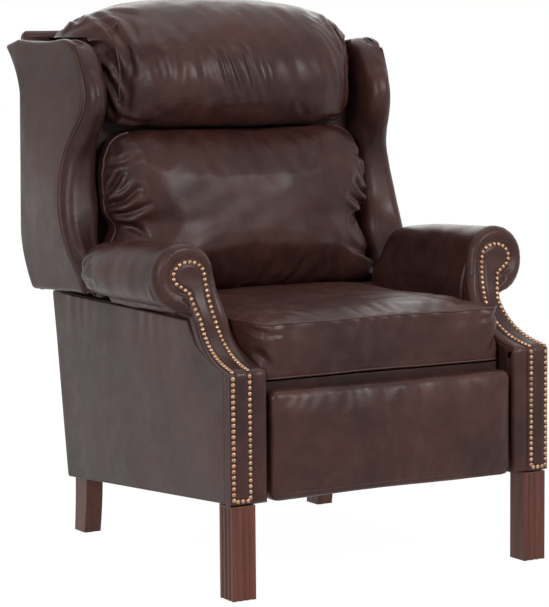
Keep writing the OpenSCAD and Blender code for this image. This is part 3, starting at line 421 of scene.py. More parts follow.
@dataclass(frozen=True)
class Crease:
    """A fold pressed into leather along a line, with a soft swell on either side."""

    line: tuple[tuple[float, float, float], ...]
    depth: float = 0.005
    width: float = 0.006
    swell: float = 0.6

    def lift(self, obj: bpy.types.Object, points: Array) -> Array:
        """How far each point moves along its normal.

        Args:
            obj: the surface that the fold's line is laid on.
            points: the surface's points.

        Returns:
            The moves, negative in the fold.
        """
        line = even_line(Workbench.laid_on(obj, open_spline(np.array(self.line), 24)), 0.004)
        low, high = line.min(0) - 5 * self.width, line.max(0) + 5 * self.width
        inside = np.where(((points > low) & (points < high)).all(1))[0]
        out = np.zeros(len(points))
        if not len(inside):
            return out
        gaps = np.linalg.norm(points[inside][:, None] - line[None], axis=2)
        along = gaps.argmin(1) / (len(line) - 1)
        d = gaps.min(1)
        fade = np.sin(np.pi * np.clip(along * 0.94 + 0.03, 0, 1)) ** 0.6
        fold = np.exp(-((d / self.width) ** 2))
        ridge = np.exp(-(((d - 2.1 * self.width) / (1.1 * self.width)) ** 2))
        out[inside] = self.depth * fade * (self.swell * ridge - fold)
        return out


def mirrored(folds: Sequence[tuple], sides: Sequence[int] = (1, -1)) -> list[Crease]:
    """Folds for one or both sides from rows that are drawn for the left side.

    Args:
        folds: rows of a line, a depth, a width and, where it has one, a swell.
        sides: the sign of X on each wanted side.

    Returns:
        The folds, side by side.
    """
    return [Crease(tuple((k * x, y, z) for x, y, z in line), *sizes) for k in sides for line, *sizes in folds]


def press(obj: bpy.types.Object, creases: Sequence[Crease], extra: Array | None = None) -> None:
    """Presses folds into a finished surface.

    Args:
        obj: the piece, its points drawn from the post fronts back.
        creases: the folds.
        extra: further moves along the normals, one for each point.
    """
    co = Workbench.points(obj)
    lift = np.zeros(len(co)) if extra is None else extra
    for crease in creases:
        lift = lift + crease.lift(obj, co)
    Workbench.place(obj, co + Workbench.normals(obj) * lift[:, None])


@dataclass(frozen=True)
class Filling:
    """How a sewn cover is blown up by what fills it, with its seams held."""

    voxel: float = 0.005
    pressure: float = 4.0
    reach: float = 0.022
    slack: float = 0.03
    stiffness: float = 12.0
    frames: int = 20
    held_from: float = 0.004
    held_to: float = 0.016
    share: float = 0.6
    ease_out: int = 5

    def swell(self, obj: bpy.types.Object, seams: Sequence[Array]) -> None:
        """Remeshes the cover and lets pressure swell it as cloth.

        Args:
            obj: the closed cover.
            seams: dense points along the seams, which stay where they are.
        """
        Workbench.take(obj)
        obj.data.remesh_voxel_size = self.voxel
        bpy.ops.object.voxel_remesh()
        start = Workbench.points(obj)
        weights = 1 - ease((nearest(start, seams) - self.held_from) / (self.held_to - self.held_from))
        group = obj.vertex_groups.new(name="seam")
        for i in np.where(weights > 0.01)[0]:
            group.add([int(i)], float(weights[i]), "REPLACE")
        cloth = obj.modifiers.new("filling", "CLOTH")
        settings = cloth.settings
        settings.quality = 5
        settings.mass = 0.3
        settings.tension_stiffness = settings.compression_stiffness = self.stiffness
        settings.shear_stiffness = 5
        settings.bending_stiffness = 0.5
        settings.use_pressure = True
        settings.uniform_pressure_force = self.pressure
        settings.effector_weights.gravity = 0
        settings.shrink_min = -self.slack
        settings.vertex_group_mass = "seam"
        for frame in range(1, self.frames + 1):
            bpy.context.scene.frame_set(frame)
        Workbench.take(obj)
        bpy.ops.object.modifier_apply(modifier=cloth.name)
        bpy.context.scene.frame_set(1)
        obj.vertex_groups.clear()
        move = Workbench.points(obj) - start
        far = np.linalg.norm(move, axis=1)
        Workbench.place(obj, start + move * self.share * np.minimum(1, self.reach / np.maximum(far, 1e-9))[:, None])
        Workbench.apply(obj, "SMOOTH", factor=0.5, iterations=self.ease_out)


@dataclass
class PaddedPanel:
    """Leather stretched over padding on a four-sided place, its edges turned back."""

    place: Callable[[Array, Array], Array]
    outward: Callable[[Array, Array], Array]
    width: float
    height: float
    depth: float = 0.01
    edge: float = 0.005
    crown: float = 0.0
    unevenness: float = 0.0
    columns: int = 60
    rows: int = 60
    seed: int = 1

    def _shares(self, length: float, count: int) -> Array:
        """Shares along one direction, close together where the edge turns."""
        turn = self.edge / length * (1 - np.cos(np.radians([0, 18, 36, 54, 72])))
        middle = np.linspace(self.edge / length, 1 - self.edge / length, count)
        return np.concatenate([turn, middle, 1 - turn[::-1]])

    def build(self, name: str) -> bpy.types.Object:
        """Moulds the panel's face, its turned edges and its back.

        Args:
            name: the object's name.

        Returns:
            The closed panel.
        """
        wall = np.linspace(1, 0, 4)[:-1]
        us, vs = self._shares(self.width, self.columns), self._shares(self.height, self.rows)
        u_all = np.concatenate([np.zeros(3), us, np.ones(3)])
        v_all = np.concatenate([np.zeros(3), vs, np.ones(3)])
        walls_u = np.concatenate([wall, np.zeros(len(us)), wall[::-1]])
        walls_v = np.concatenate([wall, np.zeros(len(vs)), wall[::-1]])
        u, v = (a.ravel() for a in np.meshgrid(u_all, v_all))
        past = np.maximum(*(a.ravel() for a in np.meshgrid(walls_u, walls_v)))
        near_u = np.minimum(u, 1 - u) * self.width
        near_v = np.minimum(v, 1 - v) * self.height
        q = np.hypot(np.maximum(self.edge - near_u, 0), np.maximum(self.edge - near_v, 0))
        sink = self.edge - np.sqrt(np.maximum(self.edge**2 - np.minimum(q, self.edge) ** 2, 0))
        sink = np.where(past > 0, lerp(self.edge, self.depth, past), sink)
        swell = self.crown * (4 * u * (1 - u)) ** 0.7 * (4 * v * (1 - v)) ** 0.7
        face = self.place(u, v)
        fade = np.clip(np.minimum(near_u, near_v) / 0.03, 0, 1)
        uneven = self.unevenness * wander(face, self.seed, 26) * fade
        points = face + self.outward(u, v) * (swell + uneven - sink)[:, None]
        front = Workbench.sheet_of(name, points.reshape(len(v_all), len(u_all), 3))
        u, v = (a.ravel() for a in np.meshgrid(us, vs))
        points = self.place(u, v) - self.outward(u, v) * self.depth
        back = Workbench.sheet_of(name + "_back", points.reshape(len(vs), len(us), 3))
        obj = Workbench.join(name, [front, back])
        Workbench.weld(obj)
        return obj


# ---- Finishes


def tone(red: int, green: int, blue: int) -> Colour:
    """A colour written as on a screen, as Blender's linear values."""
    return tuple(
        c / 12.92 if c <= 0.04045 else ((c + 0.055) / 1.055) ** 2.4 for c in (x / 255 for x in (red, green, blue))
    )


class NodeSheet:
    """One material's nodes, added and joined by short calls."""

    def __init__(self, name: str) -> None:
        """Starts a material with only its shader and output."""
        self.material = bpy.data.materials.new(name)
        self.material.use_nodes = True
        self.tree = self.material.node_tree
        self.shader = self.tree.nodes["Principled BSDF"]
        self.places = self.add("ShaderNodeTexCoord").outputs["Object"]

    def add(self, kind: str, links: dict[str, object] | None = None, **values: object) -> bpy.types.Node:
        """Adds a node.

        Args:
            kind: Blender's name of the node.
            links: outputs that feed its inputs, or values for them, by input name.
            values: the node's own properties.

        Returns:
            The new node.
        """
        node = self.tree.nodes.new(kind)
        for key, value in values.items():
            setattr(node, key, value)
        for key, value in (links or {}).items():
            socket = node.inputs[key]
            if isinstance(value, bpy.types.NodeSocket):
                self.tree.links.new(value, socket)
            else:
                socket.default_value = value
        return node

    def noise(
        self, scale: float, detail: float = 3, rough: float = 0.55, at: bpy.types.NodeSocket | None = None
    ) -> bpy.types.NodeSocket:
        """Value of a noise pattern of that scale."""
        node = self.add(
            "ShaderNodeTexNoise", {"Vector": at or self.places, "Scale": scale, "Detail": detail, "Roughness": rough})
        return node.outputs["Fac"]

    def spread(
        self, value: bpy.types.NodeSocket, low: float, high: float, to_low: float, to_high: float
    ) -> bpy.types.NodeSocket:
        """A value's range moved to another, held at its ends."""
        node = self.add(
            "ShaderNodeMapRange",
            {"Value": value, "From Min": low, "From Max": high, "To Min": to_low, "To Max": to_high})
        return node.outputs["Result"]

    def blend(self, share: object, first: object, second: object) -> bpy.types.NodeSocket:
        """A colour mixed from two."""
        node = self.add("ShaderNodeMix", data_type="RGBA")
        for socket, value in ((node.inputs[0], share), (node.inputs[6], first), (node.inputs[7], second)):
            if isinstance(value, bpy.types.NodeSocket):
                self.tree.links.new(value, socket)
            else:
                socket.default_value = (*value, 1.0) if isinstance(value, tuple) else value
        return node.outputs[2]

    def bump(
        self, height: bpy.types.NodeSocket, strength: float, distance: float, under: bpy.types.NodeSocket | None = None
    ) -> bpy.types.NodeSocket:
        """A normal that a height pattern tilts, on top of another one."""
        links = {"Height": height, "Strength": strength, "Distance": distance}
        if under is not None:
            links["Normal"] = under
        return self.add("ShaderNodeBump", links).outputs["Normal"]

    def mapped(self, scale: tuple[float, float, float]) -> bpy.types.NodeSocket:
        """The object's places, stretched by a scale along each axis."""
        return self.add("ShaderNodeMapping", {"Vector": self.places, "Scale": scale}).outputs["Vector"]

    def set(self, **values: object) -> None:
        """Feeds or sets the shader's inputs, named with underscores for spaces."""
        for key, value in values.items():
            socket = self.shader.inputs[key.replace("_", " ")]
            if isinstance(value, bpy.types.NodeSocket):
                self.tree.links.new(value, socket)
            else:
                socket.default_value = (*value, 1.0) if isinstance(value, tuple) else value


@dataclass(frozen=True)
class LeatherFinish:
    """Semi-gloss pulled-up leather: fine pebble grain, wandering tone, lighter where it is worn."""

    name: str
    deep: Colour = tone(46, 27, 26)
    warm: Colour = tone(66, 38, 33)
    worn: Colour = tone(90, 64, 58)
    roughness: float = 0.35
    grain: float = 760.0

    def material(self) -> bpy.types.Material:
        """Builds the leather's nodes."""
        sheet = NodeSheet(self.name)
        clouds = sheet.noise(5.5, 4)
        mottle = sheet.noise(34, 5, 0.6)
        base = sheet.blend(sheet.spread(clouds, 0.35, 0.68, 0, 1), self.deep, self.warm)
        base = sheet.blend(sheet.spread(mottle, 0.45, 0.78, 0, 0.25), base, self.worn)
        ridges = sheet.add("ShaderNodeNewGeometry").outputs["Pointiness"]
        base = sheet.blend(sheet.spread(ridges, 0.505, 0.56, 0, 0.35), base, self.worn)
        pebble = sheet.add(
            "ShaderNodeTexVoronoi", {"Vector": sheet.places, "Scale": self.grain, "Randomness": 1.0},
            feature="SMOOTH_F1"
        ).outputs["Distance"]
        pores = sheet.noise(1900, 2)
        lines = sheet.noise(120, 4, 0.6)
        normal = sheet.bump(lines, 0.22, 0.0012)
        normal = sheet.bump(pebble, 0.3, 0.0004, normal)
        normal = sheet.bump(pores, 0.12, 0.0002, normal)
        gloss = sheet.spread(sheet.noise(22, 4), 0.3, 0.7, self.roughness - 0.05, self.roughness + 0.08)
        sheet.set(Base_Color=base, Roughness=gloss, Normal=normal, Specular_IOR_Level=0.2)
        return sheet.material


@dataclass(frozen=True)
class WoodFinish:
    """Varnished or bare wood with its grain along one axis."""

    name: str
    light: Colour
    dark: Colour
    roughness: float
    grain: tuple[float, float, float]
    coat: float = 0.0
    edge: float = 0.0012

    def material(self) -> bpy.types.Material:
        """Builds the wood's nodes."""
        sheet = NodeSheet(self.name)
        at = sheet.mapped(self.grain)
        rings = sheet.noise(5, 6, 0.65, at)
        fibre = sheet.noise(60, 4, 0.7, at)
        patches = sheet.noise(9, 3)
        base = sheet.blend(sheet.spread(rings, 0.38, 0.64, 0, 1), self.light, self.dark)
        base = sheet.blend(sheet.spread(fibre, 0.45, 0.8, 0, 0.6), base, self.dark)
        base = sheet.blend(sheet.spread(patches, 0.4, 0.75, 0, 0.35), base, self.dark)
        rounded = sheet.add("ShaderNodeBevel", {"Radius": self.edge}, samples=6).outputs["Normal"]
        normal = sheet.bump(fibre, 0.18, 0.0004, rounded)
        gloss = sheet.spread(rings, 0.3, 0.7, self.roughness - 0.05, self.roughness + 0.07)
        sheet.set(Base_Color=base, Roughness=gloss, Normal=normal)
        sheet.set(Coat_Weight=self.coat, Coat_Roughness=0.18, Specular_IOR_Level=0.3)
        return sheet.material


@dataclass(frozen=True)
class MetalFinish:
    """Metal with slight stains and fine scratches."""

    name: str
    colour: Colour
    stain: Colour
    roughness: float
    patches: float = 60.0
    edge: float = 0.0004

    def material(self) -> bpy.types.Material:
        """Builds the metal's nodes."""
        sheet = NodeSheet(self.name)
        stains = sheet.noise(self.patches, 4)
        scratches = sheet.noise(500, 3, 0.7, sheet.mapped((1.0, 0.06, 1.0)))
        base = sheet.blend(sheet.spread(stains, 0.4, 0.72, 0, 0.8), self.colour, self.stain)
        rounded = sheet.add("ShaderNodeBevel", {"Radius": self.edge}, samples=4).outputs["Normal"]
        gloss = sheet.spread(scratches, 0.3, 0.7, self.roughness - 0.06, self.roughness + 0.1)
        sheet.set(Base_Color=base, Metallic=1.0, Roughness=gloss, Normal=sheet.bump(scratches, 0.08, 0.0002, rounded))
        return sheet.material


@dataclass(frozen=True)
class ClothFinish:
    """Thin woven lining cloth."""

    name: str
    colour: Colour
    thread: float = 900.0

    def material(self) -> bpy.types.Material:
        """Builds the cloth's nodes."""
        sheet = NodeSheet(self.name)
        threads = {"Vector": sheet.places, "Scale": self.thread / 6}
        warp, weft = (sheet.add("ShaderNodeTexWave", threads, bands_direction=way).outputs["Fac"] for way in "XY")
        weave = sheet.add("ShaderNodeMath", {0: warp, 1: weft}, operation="MAXIMUM").outputs[0]
        dust = sheet.blend(
            sheet.spread(sheet.noise(12), 0.4, 0.8, 0, 0.5), self.colour, tuple(2.2 * c + 0.01 for c in self.colour)
        )
        sheet.set(Base_Color=dust, Roughness=0.85, Normal=sheet.bump(weave, 0.5, 0.0004), Sheen_Weight=0.2)
        return sheet.material


@dataclass(frozen=True)
class PlasticFinish:
    """Moulded plastic, slightly mottled."""

    name: str
    colour: Colour
    shade: Colour
    roughness: float = 0.5

    def material(self) -> bpy.types.Material:
        """Builds the plastic's nodes."""
        sheet = NodeSheet(self.name)
        base = sheet.blend(sheet.spread(sheet.noise(40), 0.4, 0.7, 0, 0.7), self.colour, self.shade)
        sheet.set(Base_Color=base, Roughness=self.roughness, Normal=sheet.bump(sheet.noise(700), 0.1, 0.0002))
        return sheet.material


class Slot(Enum):
    """The record's material slots, each with its finish."""

    brown_leather = LeatherFinish("brown_leather")
    # The lining leather's tone, darker than the brown leather, is painted shade: it dresses only pieces that sit in
    # recesses, gaps and under the wings.
    lining_leather = LeatherFinish("lining_leather", deep=tone(36, 21, 19), warm=tone(50, 29, 25), roughness=0.46)
    mahogany = WoodFinish("mahogany", tone(104, 56, 42), tone(66, 31, 24), 0.4, (7.0, 7.0, 0.55), coat=0.06)
    frame_beech = WoodFinish("frame_beech", tone(214, 184, 146), tone(168, 130, 92), 0.62, (0.6, 5.0, 5.0))
    steel = MetalFinish("steel", tone(150, 152, 155), tone(96, 98, 102), 0.38)
    spring_steel = MetalFinish("spring_steel", tone(120, 122, 126), tone(70, 70, 74), 0.34)
    antique_brass = MetalFinish("antique_brass", tone(176, 141, 114), tone(94, 65, 49), 0.32, patches=160.0)
    nylon = PlasticFinish("nylon", tone(228, 225, 214), tone(205, 200, 188))
    black_cloth = ClothFinish("black_cloth", tone(28, 28, 29))


class Finishes:
    """Every finish made once, and handed to what wears it."""

    def __init__(self) -> None:
        """Builds all the materials."""
        self.made = {slot.name: slot.value.material() for slot in Slot}

    def dress_frame(self, frame: dict) -> None:
        """Gives each node of the frame the finish of its record slot.
        """
        for entry in frame["record"]["subparts"]:
            obj = frame["nodes"][entry["node"]]
            obj.data.materials.clear()
            obj.data.materials.append(self.made[entry["material_slot"]])

    def dress(self, obj: bpy.types.Object, slot: Slot) -> None:
        """Puts one finish on the whole of a piece."""
        obj.data.materials.clear()
        obj.data.materials.append(self.made[slot.name])


@dataclass
class Workshop:
    """Sends finished pieces to their bodies and keeps count of them."""

    finishes: Finishes
    count: int = 0

    def hand_over(
        self,
        obj: bpy.types.Object,
        body: Body,
        slot: Slot = Slot.brown_leather,
        stands_for: Sequence[str] = (),
    ) -> bpy.types.Object:
        """Finishes a piece: its place, smoothness, material and body, and hides the CAD nodes that it replaces.

        Args:
            obj: the piece, its points drawn from the post fronts back.
            body: the body it rides on.
            slot: the finish it wears.
            stands_for: the CAD nodes that it replaces.

        Returns:
            The finished piece.
        """
        Workbench.place(obj, Workbench.points(obj) + np.array([0, ROW_SHIFT, 0]))
        Workbench.take(obj)
        bpy.ops.object.shade_smooth_by_angle(angle=math.radians(50))
        self.finishes.dress(obj, slot)
        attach(obj, body.value)
        if stands_for:
            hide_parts(*stands_for)
        self.count += 1
        LOG.info("%s: %d points on %s", obj.name, len(obj.data.vertices), body.value)
        return obj


# ---- The chair's own lines


@dataclass(frozen=True)
class ChairLines:
    """Sizes and edge lines that several sub-assemblies share."""

    half_w: float = 0.351
    inner_x: float = 0.272
    base_depth: float = 0.817
    rear_taper: float = 0.035
    rear_lean: float = 0.065
    edge_front: float = 0.181
    edge_drop: float = 0.063
    wall_top: float = 0.5
    post_top: float = 0.42
    scroll_back: float = 0.166
    roll_x: float = 0.35
    roll_z: float = 0.58
    roll_r: float = 0.062
    leg_top: float = 0.177
    corner_round: float = 0.004
    line: Array = field(init=False, repr=False)

    def __post_init__(self) -> None:
        """Works out the arm's front line: length along it, depth, height and the outward way."""
        steps = ((0, 0), (0.63, 0.094), (0.93, 0.41), (1, 1))
        corners = [np.array([y * self.scroll_back, lerp(self.post_top, self.roll_z, z)]) for y, z in steps]
        t = np.linspace(0, 1, 300)[:, None]
        weights = ((1 - t) ** 3, 3 * (1 - t) ** 2 * t, 3 * (1 - t) * t**2, t**3)
        sweep = sum(weight * corner for weight, corner in zip(weights, corners))
        whole = np.vstack([[[0.0, 0.1]], sweep, [[self.scroll_back, 0.72]]])
        fine = even_line(whole, 0.001)
        reach = np.arange(-12, 13)
        kernel = np.exp(-0.5 * (reach * 0.001 / self.corner_round) ** 2)
        kernel /= kernel.sum()
        soft = np.column_stack([np.convolve(np.pad(fine[:, k], 12, "edge"), kernel, "valid") for k in (0, 1)])
        soft[:12], soft[-12:] = fine[:12], fine[-12:]
        run = 0.1 + np.concatenate([[0], np.cumsum(np.linalg.norm(np.diff(soft, axis=0), axis=1))])
        way = np.gradient(soft, axis=0)
        way /= np.linalg.norm(way, axis=1)[:, None]
        object.__setattr__(self, "line", np.column_stack([run, soft, -way[:, 1], way[:, 0]]))

    def along(self, z: Array | float) -> Array:
        """Length along the front line at a height."""
        return np.interp(z, self.line[:, 2], self.line[:, 0])

    def on_front(self, x: Array, s: Array, lift: Array | float = 0.0) -> Array:
        """Places on the arm's front.

        Args:
            x: places across the arm.
            s: lengths along the front line.
            lift: how far they stand out from it.

        Returns:
            The places in space.
        """
        y, z, ny, nz = (np.interp(s, self.line[:, 0], self.line[:, k]) for k in (1, 2, 3, 4))
        return np.column_stack([x, y + ny * lift, z + nz * lift])

    def front_y(self, z: Array | float) -> Array:
        """Depth of the front line at a height."""
        return np.interp(z, self.line[:, 2], self.line[:, 1])

    def edge_z(self, y: Array | float) -> Array:
        """Height of the base's lower edge at a depth."""
        return self.edge_front - self.edge_drop * y / (self.base_depth - self.rear_lean)

    def rear_y(self, z: Array | float) -> Array:
        """Depth of the rear panel's face at a height."""
        low = self.edge_z(self.base_depth - self.rear_lean)
        return self.base_depth - self.rear_lean * (self.wall_top - z) / (self.wall_top - low)

    def side_x(self, y: Array | float) -> Array:
        """Place of a side panel's outer face at a depth."""
        return self.half_w - self.rear_taper * y / self.base_depth


LINES = ChairLines()


CLEAR_Z = 0.4304
CLEAR_SLOPE = 0.5774
CLEAR_MARGIN = 0.0008


def above_arms(y: Array) -> Array:
    """Lowest height at a depth that still clears the tops of the arms when the back is down."""
    return CLEAR_Z + CLEAR_SLOPE * (y + ROW_SHIFT)


def facing(x: float, y: float, z: float) -> Callable[[Array, Array], Array]:
    """The way out of a flat panel, the same all over it.

    Args:
        x, y, z: the direction.

    Returns:
        A function of places on the panel.
    """
    return lambda u, _: np.tile([x, y, z], (len(u), 1))


def upright(half: float, depth: float, low: float, high: float) -> Callable[[Array, Array], Array]:
    """Places on an upright rectangle across the chair.

    Args:
        half: half its width.
        depth: where it stands.
        low, high: its lower and upper edges.

    Returns:
        A function of shares across and up.
    """
    return lambda u, v: np.column_stack([lerp(-half, half, u), np.full(len(u), depth), lerp(low, high, v)])


@dataclass(frozen=True)
class Keyhole:
    """A band up an arm's front that widens to a round head: its outline and the middle line that it closes to."""

    inner: tuple[tuple[float, float], ...]
    outer: tuple[tuple[float, float], ...]
    low: float
    neck: float
    centre: tuple[float, float]
    radii: tuple[float, float]
    arc: tuple[float, float]
    side_points: int = 84
    neck_points: int = 20
    arc_points: int = 52
    foot_points: int = 9

    def lines(self) -> tuple[Array, Array]:
        """Works out the outline and its middle line.

        Returns:
            Two equal arrays of places across and along the front: the outline's points, and where each closes to.
        """
        cx, cs = self.centre[0], float(LINES.along(self.centre[1]))
        low, neck = float(LINES.along(self.low)), float(LINES.along(self.neck))

        def edge(rows: Sequence[tuple[float, float]], s: Array) -> Array:
            """Places of an edge at lengths along the front."""
            return np.column_stack([np.interp(s, [float(LINES.along(r[0])) for r in rows], [r[1] for r in rows]), s])

        s = np.linspace(low, neck, self.side_points)
        out_side, in_side = edge(self.outer, s), edge(self.inner, s)
        half = (out_side[0, 0] - in_side[0, 0]) / 2
        mid = (out_side + in_side) / 2
        mid[:, 1] = np.maximum(mid[:, 1], low + 0.6 * half)
        n = np.linspace(0, 1, self.neck_points + 1)[1:]
        mid_neck = lerp(mid[-1], np.array([cx, cs]), n[:, None])
        a1 = math.radians(self.arc[1])
        top_in = np.array([cx + self.radii[0] * math.cos(a1), cs + self.radii[1] * math.sin(a1)])
        lower = np.radians(np.linspace(self.arc[0], 0, self.neck_points))
        upper = np.linspace(0, a1, self.arc_points)[1:]
        round_low = np.column_stack([cx + self.radii[0] * np.cos(lower), cs + self.radii[1] * np.sin(lower)])
        round_top = np.column_stack([cx + self.radii[0] * np.cos(upper), cs + self.radii[1] * np.sin(upper)])
        in_rise = lerp(in_side[-1], top_in, n[:, None])[:-1]
        foot = np.linspace(0, 1, self.foot_points)[1:-1, None]
        outline = np.vstack(
            [out_side, round_low, round_top, in_rise[::-1], in_side[::-1], lerp(in_side[0], out_side[0], foot)])
        middle = np.vstack([mid, mid_neck, np.tile([cx, cs], (len(round_top), 1)), mid_neck[:-1][::-1], mid[::-1],
                            np.tile(mid[0], (self.foot_points - 2, 1))])
        return outline, middle


# ---- Arms


@dataclass
class ArmFront:
    """The leather over an arm's front: padded band, pleated round head, the strip and its nails."""

    side: Side
    edge: float = 0.009
    head_edge: float = 0.014
    depth: float = 0.021
    pleats: int = 44
    margin: float = 0.0065
    strip_lift: float = 0.0026
    nail_r: float = 0.0047
    nail_pitch: float = 0.0104
    foot_rise: float = 0.01
    loop: tuple[float, float] = (0.344, 0.582)
    loop_radii: tuple[float, float] = (0.032, 0.026)
    strip_inner: tuple[tuple[float, float], ...] = (
        (0.1, 0.312), (0.42, 0.312), (0.452, 0.3045), (0.5, 0.3035), (0.582, 0.312))
    strip_outer: tuple[tuple[float, float], ...] = (
        (0.1, 0.346), (0.42, 0.346), (0.468, 0.3365), (0.5, 0.3335), (0.5508, 0.3465))
    folds: tuple[tuple, ...] = (
        (((0.3445, 0.158, 0.523), (0.352, 0.163, 0.530), (0.362, 0.166, 0.536)), 0.0035, 0.0032),
        (((0.343, 0.156, 0.518), (0.356, 0.163, 0.521), (0.372, 0.168, 0.527)), 0.003, 0.003),
        (((0.350, 0.163, 0.536), (0.366, 0.165, 0.549), (0.384, 0.168, 0.556)), 0.0022, 0.003),
    )

    def cover_form(self) -> Keyhole:
        """The whole front's outline."""
        r = LINES.roll_r + 0.001
        return Keyhole(
            inner=((0.1, 0.2725), (0.5, 0.2725), (0.72, 0.3)),
            outer=((0.1, 0.3508), (0.42, 0.3508), (0.46, 0.3455), (0.5, 0.3415), (0.512, 0.3425)),
            low=LINES.leg_top + 0.001, neck=0.512, centre=(LINES.roll_x, LINES.roll_z), radii=(r, r), arc=(-78, 169),
        )

    def strip_form(self, margin: float) -> Keyhole:
        """The nailed strip's outline, at a margin outside the nail rows."""
        a, b = self.loop_radii
        return Keyhole(
            inner=tuple((z, x - margin) for z, x in self.strip_inner),
            outer=tuple((z, x + margin) for z, x in self.strip_outer),
            low=LINES.leg_top + self.foot_rise - margin, neck=0.547, centre=self.loop,
            radii=(a + margin, b + margin), arc=(-54, 180),
        )

    def build_cover(self, name: str) -> bpy.types.Object:
        """The padded band and head, with the pleats drawn in round the head.

        Args:
            name: the piece's name.

        Returns:
            The cover.
        """
        outline, middle = self.cover_form().lines()
        strip = even_line(self.strip_form(self.margin).lines()[0], 0.002, True)
        shares = np.concatenate([np.linspace(0, 0.8, 15), 1 - 0.2 * np.linspace(1, 0, 12)[1:] ** 1.6])
        flat = np.array([lerp(middle, outline, k) for k in shares])
        rows, n = flat.shape[:2]
        p = flat.reshape(-1, 2)
        dense = even_line(outline, 0.002, True)
        to_edge = nearest(p, [dense]).reshape(rows, n)
        to_edge[-1] = 0
        to_strip = nearest(p, [strip]).reshape(rows, n)
        strip_reach = nearest(middle, [strip])
        inside = (np.linalg.norm(flat - middle[None], axis=2) < np.maximum(strip_reach, 0)[None]) | (to_strip < 0.001)
        head = ease((middle[:, 1] - float(LINES.along(0.52))) / 0.03)
        radius = lerp(self.edge, self.head_edge, head)[None]
        sink = radius - np.sqrt(np.maximum(radius**2 - np.maximum(radius - to_edge, 0) ** 2, 0))
        gap = np.maximum(to_edge + to_strip, 1e-6)
        q = np.where(inside, 0, to_edge / gap)
        puff = np.minimum(0.0042, 0.13 * gap) * 4 * q * (1 - q)
        angle = np.arctan2(outline[:, 1] - float(LINES.along(LINES.roll_z)), outline[:, 0] - LINES.roll_x)
        wave = np.sin(self.pleats * angle + 1.3 * np.sin(5 * angle) + 0.8 * np.sin(11 * angle + self.side.value))
        pleat = 0.0009 * wave * (0.6 + 0.4 * np.sin(7 * angle + 2)) * head
        band = np.exp(-(((shares - 0.86) / 0.16) ** 2))[:, None]
        lift = puff - sink + pleat[None] * band
        points = [LINES.on_front(flat[k, :, 0], flat[k, :, 1], lift[k]) for k in range(rows)]
        hem = 0.0012 * np.sin(outline[:, 0] * 260) * (outline[:, 1] < LINES.leg_top + 0.004)
        for k in np.linspace(0, 1, 5)[1:]:
            back = lerp(radius[0], self.depth, k)
            wall = LINES.on_front(outline[:, 0], outline[:, 1], -back)
            wall[:, 2] += hem
            points.append(wall)
        table = np.array(points)
        rear = table[-1]
        table = np.concatenate(
            [table, [lerp(rear, LINES.on_front(middle[:, 0], middle[:, 1], -self.depth), k) for k in (0.5, 1.0)]]
        )
        obj = self._closed(name, table)
        press(obj, mirrored(self.folds, (self.side.value,)))
        return obj

    def _closed(self, name: str, table: Array) -> bpy.types.Object:
        """Closes a piece that is drawn for the left side, and puts it on its own side.

        Args:
            name: the piece's name.
            table: its points, row by row.

        Returns:
            The piece.
        """
        obj = Workbench.sheet_of(name, np.concatenate([table, table[:, :1]], axis=1))
        Workbench.place(obj, Workbench.points(obj) * np.array([self.side.value, 1, 1]))
        Workbench.weld(obj, 4e-5)
        return obj

    def build_strip(self, name: str) -> bpy.types.Object:
        """The strip between and round the nails, with a soft ridge along its middle.

        Args:
            name: the piece's name.

        Returns:
            The strip.
        """
        outline, middle = self.strip_form(self.margin).lines()
        shares = np.concatenate([np.linspace(0, 0.75, 10), np.linspace(0.8, 1, 7)])
        flat = np.array([lerp(middle, outline, k) for k in shares])
        d = nearest(flat.reshape(-1, 2), [even_line(outline, 0.002, True)]).reshape(flat.shape[:2])
        d[-1] = 0
        top = self.strip_lift * ease(d / 0.004) - 0.0006 * np.exp(-(((d - self.margin) / 0.0035) ** 2))
        top = top + 0.0022 * ease((d - self.margin - 0.002) / 0.007)
        points = [LINES.on_front(flat[k, :, 0], flat[k, :, 1], top[k] + 0.0004) for k in range(len(shares))]
        points.append(LINES.on_front(outline[:, 0], outline[:, 1], -0.004))
        points.append(LINES.on_front(middle[:, 0], middle[:, 1], -0.004))
        return self._closed(name, np.array(points))

    def nail_places(self) -> list[tuple[float, float]]:
        """Places of the nails across and along the front, one polyline up, round, down and across the foot."""
        form, (x, z), (a, b) = self.strip_form(0.0), self.loop, self.loop_radii
        low = float(LINES.along(LINES.leg_top + self.foot_rise))

        def row(up: Array, line: Sequence[tuple[float, float]]) -> Array:
            """One side's nails, on the strip's outline there."""
            return np.column_stack([np.interp(up, [float(LINES.along(r[0])) for r in line], [r[1] for r in line]), up])

        inner = row(np.linspace(low, float(LINES.along(0.576)), 120), form.inner)
        turn = np.radians(np.linspace(188, -32, 60))
        loop = np.column_stack([x + a * np.cos(turn), float(LINES.along(z)) + b * np.sin(turn)])
        outer = row(np.linspace(float(LINES.along(0.551)), low, 120), form.outer)
        path = np.vstack([inner, loop, outer, inner[:1]])
        run = np.concatenate([[0], np.cumsum(np.linalg.norm(np.diff(path, axis=0), axis=1))])
        count = int(run[-1] / self.nail_pitch)
        marks = (np.arange(count) + 0.5) * run[-1] / count
        return list(zip(np.interp(marks, run, path[:, 0]), np.interp(marks, run, path[:, 1])))

